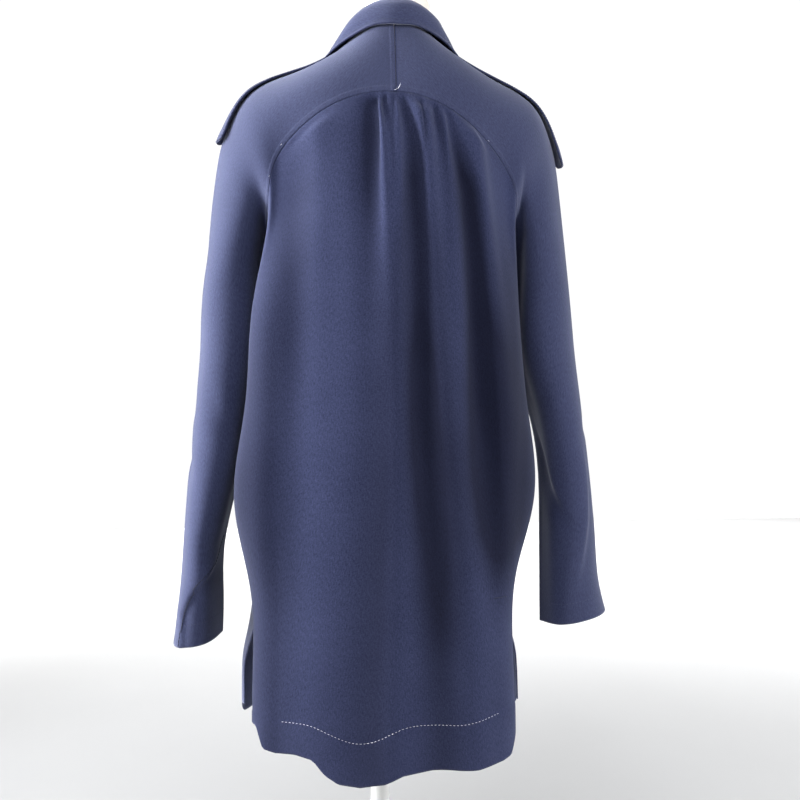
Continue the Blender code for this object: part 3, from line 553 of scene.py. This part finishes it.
# Painted shade on the sleeves, in rows as in SLEEVE_CREASES: depths that darken the cloth's colour
SLEEVE_SHADED = {
    LEFT: (
        ((0.3, 770, 0.2, 0.4, 0), (0.4, 745, 0.3, 0.6, 1.2), (0.9, 722, 0.6, 1, 2.2),
         (1.2, 700, 0.66, 1.2, 2.4), (1.2, 650, 0.66, 1.2, 1.4)),
    ),
    RIGHT: (
        ((0.2, 890, 0.14, 0.4, 0), (0.3, 860, 0.24, 0.6, 2.2), (0.5, 820, 0.5, 0.8, 2.4),
         (0.6, 760, 0.8, 0.9, 2.2), (0.6, 680, 0.6, 0.9, 1.6), (0.6, 610, 0.6, 0.9, 0)),
        ((0.3, 1220, 0.2, 0.6, 0), (0.45, 1160, 0.35, 0.6, 3), (0.3, 1020, 0.3, 0.6, 2.4),
         (0.2, 930, 0.2, 0.6, 0)),
    ),
}
# On the fronts: (out from the middle, z, half width outwards, half width inwards, depth).
FRONT_CREASES = {
    LEFT: (
        ((66, 1090, 12, 14, 0), (70, 980, 18, 20, 4), (78, 840, 22, 26, 6), (84, 680, 26, 30, 5.2),
         (86, 540, 28, 30, 3)),
        ((116, 1150, 12, 14, 0), (120, 1020, 18, 20, 5), (126, 860, 20, 22, 6), (130, 740, 20, 22, 0)),
        ((36, 990, 10, 12, 0), (40, 860, 16, 16, -2.8), (46, 680, 20, 18, -3.4), (48, 540, 22, 20, -2)),
    ),
    RIGHT: (
        ((58, 1080, 12, 14, 0), (62, 980, 20, 20, 4.6), (72, 840, 24, 26, 6.6), (76, 660, 28, 30, 5.6),
         (76, 530, 30, 30, 3)),
        ((110, 1160, 12, 14, 0), (114, 1040, 20, 20, 5), (124, 900, 22, 24, 6.6), (130, 760, 20, 22, 2),
         (132, 700, 20, 22, 0)),
        ((20, 1070, 8, 10, 0), (34, 1085, 10, 10, 1.6), (60, 1110, 12, 12, 0)),
        ((30, 800, 12, 12, 0), (36, 700, 18, 16, -3), (40, 540, 22, 20, -3)),
    ),
}
# The hem's stitch line on the back: (x, z), and how far the doubled cloth below it stands out.
HEM_STITCH = metres((
    (-150, 585), (-133.3, 583.5), (-113.5, 578.8), (-84.4, 574.2), (-55.3, 575.4), (-26.1, 576.5),
    (-8.7, 571.9), (8.8, 562.6), (24, 556.8), (43.8, 558), (61.2, 566.1), (78.7, 574.2), (90.4, 580),
    (125.3, 581.2), (142.8, 585.8),
))
DOUBLED = 0.0006

# ---- making ----

# Creases this deep get the darkest painted shade in the cloth's colour.
DEEP = 0.010
# How thick a stitch is at the points along it, and how many sides it has
STITCH_POINTS = (0.45, 0.9, 1, 0.9, 0.45)
STITCH_SIDES = 6


def in_scene(name, data):
    """A new object with this mesh, lamp or camera."""
    made = bpy.data.objects.new(name, data)
    bpy.context.scene.collection.objects.link(made)
    return made


def smooth_mesh(name, points, faces, made_of):
    """A new object of smooth faces."""
    mesh = bpy.data.meshes.new(name)
    mesh.from_pydata(points, [], faces)
    mesh.polygons.foreach_set("use_smooth", [True] * len(mesh.polygons))
    mesh.materials.append(made_of)
    return in_scene(name, mesh)


def arc(grid, axis):
    """Distance along a grid's rows or columns, in metres."""
    step = np.linalg.norm(np.diff(grid, axis=axis), axis=2)
    start = np.zeros_like(np.take(step, [0], axis=axis))
    return np.concatenate([start, np.cumsum(step, axis=axis)], axis=axis)


def shell(name, grid, made_of, wall, outward, depth=None):
    """A wall of cloth whose outer face is the grid, in place of its CAD node. Its UVs are distances
    along the cloth, and a depth, when given, becomes painted shade: a colour attribute that darkens it."""
    rows, columns = grid.shape[:2]
    turned = np.dot(normals(grid)[rows // 2, columns // 2], outward) < 0
    faces, corners = [], []
    for r in range(rows - 1):
        for c in range(columns - 1):
            cell = [(r, c), (r + 1, c), (r + 1, c + 1), (r, c + 1)]
            cell = cell[::-1] if turned else cell
            faces.append([i * columns + j for i, j in cell])
            corners.extend(cell)
    part = smooth_mesh(name, grid.reshape(-1, 3).tolist(), faces, made_of)
    mesh = part.data
    along = np.stack([arc(grid, 1), arc(grid, 0)], axis=2)
    along[:, :, 0] -= along[:, columns // 2:columns // 2 + 1, 0]
    index = np.array(corners)
    layer = mesh.uv_layers.new(name="cloth")
    layer.data.foreach_set("uv", along[index[:, 0], index[:, 1]].astype(np.float32).ravel())
    # Painted shade: deeper cloth gets a darker colour, darkest at DEEP.
    value = np.ones((rows, columns, 4))
    value[:, :, :3] = 0 if depth is None else (np.clip(depth / DEEP, 0, 1) ** 1.25)[:, :, None]
    painted_shade = mesh.color_attributes.new("painted_shade", "FLOAT_COLOR", "POINT")
    painted_shade.data.foreach_set("color", value.astype(np.float32).ravel())
    bm = bmesh.new()
    bm.from_mesh(mesh)
    bmesh.ops.remove_doubles(bm, verts=bm.verts, dist=1e-5)
    bm.to_mesh(mesh)
    bm.free()
    thick = part.modifiers.new("Wall", "SOLIDIFY")
    thick.thickness, thick.offset = wall, -1
    thick.use_rim = True
    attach(part, "root")
    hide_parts(name.removeprefix("blazer_"))
    return part


def seam_band(run, width=0.0075, height=0.00035):
    """The sunken relief along a seam: a groove, and the allowance pressed flat on one side of it."""
    return 0.0003 * np.clip(1 - run / 0.0016, 0, 1) - height * ease((width - run) / 0.0016)


def inset_line(grid, axis, inset):
    """Points and normals along a grid's last row or column, moved in from that edge."""
    rows = grid if axis == 1 else grid.transpose(1, 0, 2)
    run = arc(rows, 1)
    run = run[:, -1:] - run
    out = normals(rows)
    place = [np.interp(inset, line[::-1], np.arange(rows.shape[1])[::-1]) for line in run]
    low = np.clip(np.floor(place).astype(int), 0, rows.shape[1] - 2)
    part = (np.array(place) - low)[:, None]
    k = np.arange(len(rows))
    return rows[k, low] * (1 - part) + rows[k, low + 1] * part, out[k, low]


def facing(out, towards):
    """Normals, each turned to the side that a direction points to."""
    return np.where((out * towards).sum(axis=1, keepdims=True) < 0, -out, out)


def tube_faces(start, rings, sides):
    """The faces of a tube whose rings of points follow one another, and of its two ends."""
    end = start + sides * (rings - 1)
    faces = [[low + k, low + (k + 1) % sides, low + sides + (k + 1) % sides, low + sides + k]
             for low in range(start, end, sides) for k in range(sides)]
    return faces + [range(start, start + sides)[::-1], range(end, end + sides)]


def met_at(places, run, line):
    """Points, or normals, at distances along a line."""
    return np.stack([np.interp(places, run, line[:, k]) for k in range(3)], 1)


def stitches(name, points, out, length, gap, radius, made_of):
    """Separate stitches along a line: each a small rounded strand that dips in at its ends."""
    points, out = np.asarray(points), np.asarray(out)
    run = np.concatenate([[0], np.cumsum(np.linalg.norm(np.diff(points, axis=0), axis=1))])
    spots, faces = [], []
    for start in np.arange(0, run[-1] - length, length + gap):
        places = start + length * np.linspace(0, 1, len(STITCH_POINTS))
        middle, up = met_at(places, run, points), met_at(places, run, out)
        across = np.cross(middle[-1] - middle[0], up)
        across /= np.linalg.norm(across, axis=1, keepdims=True)
        faces += tube_faces(len(spots), len(STITCH_POINTS), STITCH_SIDES)
        for k, swell in enumerate(STITCH_POINTS):
            lift = radius * (0.9 * swell - 0.3)
            for turn in range(STITCH_SIDES):
                a = math.tau * turn / STITCH_SIDES
                spots.append(middle[k] + up[k] * (lift + radius * swell * math.sin(a))
                             + across[k] * radius * swell * math.cos(a))
    made = smooth_mesh(name, [tuple(spot) for spot in spots], faces, made_of)
    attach(made, "root")


def edge_stitches(name, grid, axis, inset, towards, *stitch):
    """Stitches beside a grid's last row or column, on its side towards a direction, or, without
    one, on the side away from the line's middle."""
    line, out = inset_line(grid, axis, inset)
    stitches(name, line, facing(out, towards or line - line.mean(axis=0)), *stitch)


def surface(piece):
    """The faces of a piece, to be searched."""
    mesh = piece.data
    return BVHTree.FromPolygons([v.co for v in mesh.vertices], [p.vertices for p in mesh.polygons])


def from_behind(piece, places):
    """The points of a piece, and its normals, met from behind at (x, z) places."""
    tree = surface(piece)
    met = [tree.ray_cast(Vector((x, 1, z)), Vector((0, -1, 0))) for x, z in places]
    points, out = np.array([found[:2] for found in met if found[0]]).transpose(1, 0, 2)
    return points, facing(out, (0, 1, 0))


# ---- materials ----

# The share of the weave's range over which the cloth turns from dark to light
FLECK = 0.32


def fed(tree, node, inputs):
    """Set a node's inputs, each to a value or from another node's output."""
    for key, value in inputs.items():
        if isinstance(value, bpy.types.NodeSocket):
            tree.links.new(value, node.inputs[key])
        else:
            node.inputs[key].default_value = value


def added(tree, kind, inputs, result=0, **settings):
    """The output of a new shader node."""
    node = tree.nodes.new("ShaderNode" + kind)
    for key, value in settings.items():
        setattr(node, key, value)
    fed(tree, node, inputs)
    return node.outputs[result]


def ramp(tree, value, *stops):
    """A colour that goes from one (position, colour) stop to another."""
    node = tree.nodes.new("ShaderNodeValToRGB")
    for element, (position, colour) in zip(node.color_ramp.elements, stops):
        element.position, element.color = position, (*colour, 1)
    tree.links.new(value, node.inputs[0])
    return node.outputs[0]


def node_material(name):
    made = bpy.data.materials.new(name)
    made.use_nodes = True
    return made, made.node_tree, made.node_tree.nodes["Principled BSDF"]


def crepe(name, dark, light, sheen):
    """Fine pebbled crepe: threads and a soft diagonal in the cloth's own directions. A colour
    attribute paints shade into it, darkening it towards a dark blue.
    """
    made, tree, shader = node_material(name)
    uv = added(tree, "UVMap", {}, uv_map="cloth")
    turned = added(tree, "Mapping", {0: uv, "Rotation": (0, 0, 0.6), "Scale": (620, 210, 1)})
    threads = added(tree, "TexNoise", {"Vector": turned, "Scale": 1, "Detail": 3})
    grain = added(tree, "TexNoise", {"Vector": uv, "Scale": 560, "Detail": 2})
    cloud = added(tree, "TexNoise", {"Vector": uv, "Scale": 14, "Detail": 3})
    both = added(tree, "Mix", {0: 0.5, 2: threads, 3: grain}, data_type="FLOAT")
    blend = added(tree, "Mix", {0: 0.15, 2: both, 3: cloud}, data_type="FLOAT")
    colour = ramp(tree, blend, (0.5 - FLECK / 2, dark), (0.5 + FLECK / 2, light))
    # Painted shade: the attribute darkens the cloth's colour in creases and where light is kept off.
    painted_shade = added(tree, "Attribute", {}, "Fac", attribute_name="painted_shade")
    darker = added(tree, "Mix", {0: painted_shade, 6: colour, 7: (0.24, 0.25, 0.31, 1)}, 2,
                   data_type="RGBA", blend_type="MULTIPLY")
    bump = added(tree, "Bump", {"Height": both, "Strength": 0.5, "Distance": 0.0005})
    fed(tree, shader, {
        "Roughness": 0.88, "Specular IOR Level": 0.15, "Sheen Weight": sheen, "Sheen Roughness": 0.45,
        "Sheen Tint": (0.80, 0.84, 1, 1), "Base Color": darker, "Normal": bump})
    return made


def plain(name, colour, roughness, grain_scale, grain, sheen=0, painted_shade_near=None):
    """A smooth or softly grained surface. Given a range, it is greyer within that distance of its
    middle: painted shade.
    """
    made, tree, shader = node_material(name)
    place = added(tree, "TexCoord", {}, "Object")
    noise = added(tree, "TexNoise", {"Vector": place, "Scale": grain_scale, "Detail": 4})
    tint = ramp(tree, noise, (0.3, [c * (1 - grain) for c in colour]), (0.7, colour))
    if painted_shade_near:
        away = added(tree, "VectorMath", {0: place}, "Value", operation="LENGTH")
        share = added(tree, "MapRange", {"Value": away, **painted_shade_near})
        tint = added(tree, "VectorMath", {0: tint, "Scale": share}, operation="SCALE")
    bump = added(tree, "Bump", {"Height": noise, "Strength": 0.25, "Distance": 0.0004})
    fed(tree, shader, {
        "Roughness": roughness, "Sheen Weight": sheen, "Base Color": tint, "Normal": bump})
    return made


# Two copies of one navy crepe: the back's is darker with less sheen, painted shade; the other, for
# every other piece, is lighter and greyer, painted light.
navy_back_shaded = crepe("navy_crepe_back_painted_shade", (0.014, 0.018, 0.051), (0.0395, 0.0475, 0.107), 0.14)
navy = crepe("navy_crepe", (0.019, 0.0236, 0.060), (0.047, 0.055, 0.117), 0.33)
# A thin dark strand for a seam's groove: painted shadow.
seam_painted_shadow = plain("seam_painted_shadow", (0.010, 0.012, 0.030), 0.8, 900, 0.2)
thread_white = plain("white_thread", (0.75, 0.75, 0.80), 0.7, 900, 0.1)
thread_navy = plain("navy_thread", (0.035, 0.040, 0.085), 0.7, 900, 0.2)
button_navy = plain("navy_button", (0.015, 0.017, 0.035), 0.3, 60, 0.3)
jersey = plain("cream_jersey", (0.86, 0.79, 0.70), 0.85, 1100, 0.12, 0.2)
enamel = plain("white_enamel", (0.62, 0.62, 0.60), 0.35, 25, 0.05)
# The floor is greyer near its middle: painted shade round the stand.
pale = plain("pale_floor", (0.90, 0.90, 0.90), 0.9, 3, 0.02,
             painted_shade_near={"From Min": 0.9, "From Max": 2.6, "To Min": 0.50, "To Max": 1})

# ---- the garment ----

FINE = 1
# Stitches: how long, how far apart, how thick, and their thread.
EDGE_STITCH = (0.0025, 0.0010, 0.00022, thread_navy)
CUFF_STITCH = (0.0028, 0.0016, 0.00022, thread_navy)
FRONT_HEM_STITCH = (0.0028, 0.0017, 0.00022, thread_navy)
BACK_HEM_STITCH = (0.0023, 0.0021, 0.00022, thread_white)
VENT_TACK = (0.0009, 0.0002, 0.0005, thread_navy)
CUFF_SEAM = (0.0045, 0.0001, 0.0005, seam_painted_shadow)
RAGLAN_STITCH = (0.0022, 0.0034, 0.00020, thread_navy)
# How far lines of stitches lie from their edges
LAPEL_INSET, TAB_INSET, COLLAR_INSET, CUFF_INSET, HEM_INSET = 0.005, 0.004, 0.006, 0.028, 0.035


def fine(count):
    return max(4, int(count * FINE))


def finished(grid, outward, depth):
    """The surface with its creases sunk."""
    out = normals(grid)
    if np.dot(out[grid.shape[0] // 2, grid.shape[1] // 2], outward) < 0:
        out = -out
    return grid - out * depth[:, :, None]


def drawn_in(grid, top, first=0):
    """The grid with its top row and its first column moved in from a seam."""
    grid = grid.copy()
    for rows, gap in ((grid, top), (grid.transpose(1, 0, 2), first)):
        step = rows[1] - rows[0]
        rows[0] += gap * step / np.linalg.norm(step, axis=1, keepdims=True)
    return grid


# back
counts, shares = np.array(BACK_SHARES).T
back = back_grid(np.interp(np.linspace(0, counts[-1], fine(190)), counts, shares), fine(255))
x, z = back[:, :, 0], back[:, :, 2]
below = z[0] - z
fade = ease(below / 0.010) * ease((0.17 - abs(x - MIDDLE_X)) / 0.03)
depth = crease_depth(BACK_CREASES, x, z) * fade
# fine puckers under the yoke, and the doubled hem
pucker = np.sin(x / 0.0036 + 2.2 * np.sin(x / 0.019)) * ease((0.020 - below) / 0.016)
depth += 0.00045 * pucker * ease((0.10 - abs(x + 0.03)) / 0.03) * ease(below / 0.002)
depth -= DOUBLED * ease((np.interp(x, *HEM_STITCH.T) - z) / 0.002)
# Painted shade: the pleats' depths and BACK_SHADED darken the back's colour.
shade = crease_depth(BACK_CREASES[2:-2] + BACK_SHADED, x, z) * ease(below / 0.010)
# Its top row reaches up under the yoke.
back = drawn_in(finished(back, (0, 1, 0), depth), -0.003)
back[0] -= (0, 0.0006, 0)
piece = shell("blazer_back", back, navy_back_shaded, WALL, (0, 1, 0), shade)
# its hem's stitches on a smoothed line, and the tack at the top of the right vent
line = HEM_STITCH[1:-1]
places = np.linspace(line[0, 0], line[-1, 0], 300)
levels = np.convolve(np.pad(np.interp(places, *line.T), 12, "edge"), np.full(25, 1 / 25), "valid")
stitches("hem_stitches", *from_behind(piece, zip(places, levels)), *BACK_HEM_STITCH)
tacked = [(-0.126 - 0.0004 * k, 0.722) for k in range(45)]
stitches("vent_tack", *from_behind(piece, tacked), *VENT_TACK)

sleeves = {}
for side, name in ((LEFT, "left"), (RIGHT, "right")):
    # front
    front = front_grid(side, fine(90), fine(170))
    x, z = front[:, :, 0], front[:, :, 2]
    aside, below = arc(front, 1), arc(front, 0)
    fade = ease(aside / 0.03) * ease((aside[:, -1:] - aside) / 0.02) * ease(below / 0.03)
    depth = crease_depth(FRONT_CREASES[side], side * (x - MIDDLE_X), z) * fade
    front = drawn_in(finished(front, (0, -1, 0), depth), 0.0004, 0.0002)
    # Painted shade: the creases' depths darken the front's colour.
    piece = shell("blazer_front_" + name, front, navy, WALL, (0, -1, 0), depth)
    edge_stitches("front_hem_stitches_" + name, front, 0, HEM_INSET, (0, -1, 0), *FRONT_HEM_STITCH)
    # lapel
    lapel = lapel_grid(side, fine(24), fine(50))
    piece = shell("blazer_lapel_" + name, lapel, navy, WALL, (0, -1, 0))
    edge_stitches("lapel_stitches_" + name, lapel, 1, LAPEL_INSET, (0, -1, 0), *EDGE_STITCH)
    # sleeve and half yoke, with rows and columns close together beside the seams
    cuff = UNDERARM + len(SLEEVE[side])
    down = np.concatenate([
        np.linspace(0, 0.2, 16)[:-1], np.linspace(0.2, UNDERARM, fine(96)),
        np.linspace(UNDERARM, cuff, fine(120))[1:]])
    across = np.concatenate([
        np.linspace(0, 0.25, 14)[:-1], np.linspace(0.25, 5.75, fine(130)),
        np.linspace(5.75, 6, 14)[1:]])
    sleeve = sleeve_grid(side, down, across)
    v, u = np.meshgrid(down, across, indexing="ij")
    hanging, run, fall = ease((v - 3.2) / 1.2), arc(sleeve, 1), arc(sleeve, 0)
    depth = crease_depth(SLEEVE_CREASES[side], u, sleeve[:, :, 2], ON_TUBE) * hanging
    depth *= ease(u / 0.3) * ease((6 - u) / 0.3)
    relief = (seam_band(run) + seam_band(run[:, -1:] - run)) * ease((UNDERARM - v) / 0.6)
    relief += seam_band(fall, 0.0065, 0.0005 if side == LEFT else 0) * ease((NAPE - u) / 0.2)
    sleeve = drawn_in(finished(sleeve, (side, 0, 0), depth + relief), 0.0002)
    # Painted shade: the creases' depths and SLEEVE_SHADED darken the sleeve's colour.
    shade = depth + crease_depth(SLEEVE_SHADED[side], u, sleeve[:, :, 2], ON_TUBE) * hanging
    piece = shell("blazer_sleeve_" + name, sleeve, navy, WALL, (side, 0, 0), shade)
    sleeves[side] = surface(piece)
    edge_stitches("cuff_stitches_" + name, sleeve, 0, CUFF_INSET, None, *CUFF_STITCH)
    # shoulder tab
    tab = tab_grid(side, fine(60), fine(24))
    piece = shell("blazer_tab_" + name, tab, navy, TAB_WALL, (0, 0, 1))
    for turned, which in ((tab, "a"), (tab[:, ::-1], "b")):
        edge_stitches("tab_stitches_%s_%s" % (name, which), turned, 1, TAB_INSET, (0, 0, 1),
                      *EDGE_STITCH)

# The collar, whose fall spreads at the sides and lies down on the yoke.
collar = collar_grid(fine(150), fine(60))
shares = np.linspace(0, 1, collar.shape[1])
aside = collar[:, :, 0] - COLLAR_X
spread = ease((shares - 0.45) / 0.55) * ease((abs(aside) - 0.02) / 0.03)
spread *= ease((collar[:, :, 1] + 0.02) / 0.04)
collar[:, :, 0] += 0.008 * spread * np.sign(aside)
collar[:, :, 2] -= 0.005 * spread
lying = 0.45 * ease((shares - 0.72) / 0.28) + 0.35 * ease((shares - 0.86) / 0.14)
for row in collar:
    for point, share in zip(row, lying):
        near = min((tree.find_nearest(Vector(point)) for tree in sleeves.values()),
                   key=lambda found: found[3])
        if share > 0 and near[3] < 0.02:
            point += (np.array(near[0]) - point) * share * max(0, 1 - 0.0042 / near[3])
piece = shell("blazer_collar", collar, navy, COLLAR_WALL, (0, 1, 0))
edge_stitches("collar_stitches", collar, 1, COLLAR_INSET, None, *EDGE_STITCH)

# The seam across the left sleeve above the cuff, through (place round the tube, z) places.
# It is drawn as a thin dark strand: the painted shadow of its groove.
places = np.array((
    (0.25, 0.788), (0.65, 0.765), (1.13, 0.749), (1.62, 0.731), (1.90, 0.711), (2.01, 0.693),
    (2.03, 0.660)))
around, levels = (spline_weights(len(places), np.linspace(0, len(places) - 1, 60)) @ places).T
rows = np.interp(-levels, -SLEEVE[LEFT][:, 0], np.arange(len(SLEEVE[LEFT])))
aim = on_sleeve(LEFT, UNDERARM + 1 + rows, around)
met = [sleeves[LEFT].find_nearest(Vector(point)) for point in aim]
points, out = np.array([found[:2] for found in met]).transpose(1, 0, 2)
away = (points - (aim[:, 0].mean(), -0.01, 0)) * (1, 1, 0)
stitches("cuff_seam_shadow_left", points, facing(out, away), *CUFF_SEAM)

right_seam = on_sleeve(RIGHT, np.linspace(2.7, 3.75, 14), np.full(14, 0.07)) + (0, 0.0006, 0)
stitches("raglan_stitches", right_seam, np.tile((0, 1, 0.2), (14, 1)), *RAGLAN_STITCH)

# The white tack at the foot of the centre back seam with its loose end, and three stray stitches,
# each a single stitch through places on a sleeve's net
for name, side, spots in (
        ("tack", LEFT, ((0.06, 0.02), (0.02, 0.03), (0, 0.05))),
        ("loose_end", RIGHT, ((0, 0.05), (0.05, 0.09), (0.09, 0.16), (0.10, 0.24))),
        ("stray_1", LEFT, ((2.78, 0.09), (2.83, 0.10))),
        ("stray_2", LEFT, ((3.56, 0.06), (3.60, 0.09))),
        ("stray_3", RIGHT, ((2.22, 0.03), (2.26, 0.03)))):
    path = on_sleeve(side, *np.array(spots).T) + (0, 0.0012, 0.0003)
    path = met_at(np.linspace(0, len(path) - 1, 12), np.arange(len(path)), path)
    length = np.linalg.norm(np.diff(path, axis=0), axis=1).sum()
    stitches(name, path, np.tile((0, 0.9, 0.4), (12, 1)), 0.97 * length, length, 0.00025, thread_white)

# ---- the dress form ----

# The torso: rings of points from the bottom up, with a flat end at the bottom and the top
count = fine(120)
ring = np.arange(count) * math.tau / count
points = []
for level, half_width, front_y, back_y in (
        spline_weights(len(FORM), np.linspace(0, len(FORM) - 1, count)) @ FORM):
    x = half_width * np.cos(ring) + FORM_LEAN * (level - FORM[0][0])
    y = np.where(np.sin(ring) > 0, back_y, -front_y) * np.sin(ring)
    points.extend(zip(x, y, np.full(count, level)))
piece = smooth_mesh("form_torso_cover", points, tube_faces(0, count, count), jersey)
for end in piece.data.polygons[-2:]:
    end.use_smooth = False
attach(piece, "root")
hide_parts("form_torso")
for name, made_of in (("stand_pole", enamel), ("stand_base", enamel), ("button_1", button_navy),
                      ("button_2", button_navy), ("button_3", button_navy)):
    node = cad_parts[name]
    node.data.materials.clear()
    node.data.materials.append(made_of)
    node.data.polygons.foreach_set("use_smooth", [True] * len(node.data.polygons))
    split = node.modifiers.new("Sharp edges", "EDGE_SPLIT")
    split.split_angle = math.radians(35)

# ---- floor, light, camera ----

corners = [(-5.6, -5.2, 0), (5.6, -5.2, 0), (5.6, 5.2, 0), (-5.6, 5.2, 0)]
floor = smooth_mesh("floor", corners, [(0, 1, 2, 3)], pale)
floor.location.z = -0.0005


def aimed(made, at, along):
    """Put a lamp or a camera at a place, looking along a direction."""
    made.location = at
    made.rotation_mode = "QUATERNION"
    made.rotation_quaternion = Vector(along).to_track_quat("-Z", "Y")


def lamp(name, at, towards, power, size, colour, spread):
    data = bpy.data.lights.new(name, "AREA")
    data.shape, data.size, data.size_y = "RECTANGLE", *size
    data.energy, data.color, data.spread = power, colour, math.radians(spread)
    aimed(in_scene(name, data), at, Vector(towards) - Vector(at))


for name, at, towards, power, size in (
        ("window_high", (2.59, -0.23, 2.70), (0, 0, 1.1), 56, (1.2, 1.2)),
        ("window_low", (2.98, 0.31, 1.05), (0, 0, 0.85), 47, (0.8, 1.9)),
        ("far_high", (-2.59, -0.23, 2.70), (0, 0, 1.1), 6, (1.2, 1.2)),
        ("far_low", (-2.60, 1.20, 0.95), (0, 0, 0.80), 21, (0.8, 1.9)),
        ("fill", (1.01, 2.18, 2.60), (0, 0, 1.1), 18, (1.4, 1.6))):
    lamp(name, at, towards, power, size, (0.97, 0.98, 1), 90)
# Lamps all round keep the floor evenly pale, away from the object.
for k, power in enumerate((60, 50, 60, 70, 90, 70, 60, 50)):
    across, along = 5 * math.sin(math.tau * k / 8), 5 * math.cos(math.tau * k / 8)
    lamp("floor_light", (across, along, 2.8), (across, along, 0), power, (3.4, 3.4), (1, 1, 1), 100)
lamp("floor_light", (0, -2.7, 2.8), (0, -2.7, 0), 26, (5, 1.2), (1, 1, 1), 100)

# The camera sees white surroundings, which light the object only faintly.
world = bpy.data.worlds.new("white_room")
world.use_nodes = True
bpy.context.scene.world = world
tree = world.node_tree
rise = added(tree, "SeparateXYZ", {0: added(tree, "TexCoord", {}, "Generated")}, "Z")
seen = tree.nodes["Background"]
fed(tree, seen, {0: ramp(tree, rise, (0, (0.965, 0.965, 0.965)), (0.12, (1, 1, 1))), 1: 1.05})
lit = added(tree, "Background", {0: (0.95, 0.97, 1, 1), 1: 0.02})
by_camera = added(tree, "LightPath", {}, "Is Camera Ray")
mixed = added(tree, "MixShader", {0: by_camera, 1: lit, 2: seen.outputs[0]})
fed(tree, tree.nodes["World Output"], {0: mixed})

bpy.context.scene.view_settings.view_transform = "Standard"

# The camera stands behind the garment, nearly level, as in the photo.
camera_data = bpy.data.cameras.new("camera")
camera_data.sensor_width, camera_data.lens = 36, 36.9
camera = in_scene("camera", camera_data)
aimed(camera, (0.0860, 1.0669, 0.957), (-0.104528, -0.994522, 0))
bpy.context.scene.camera = camera
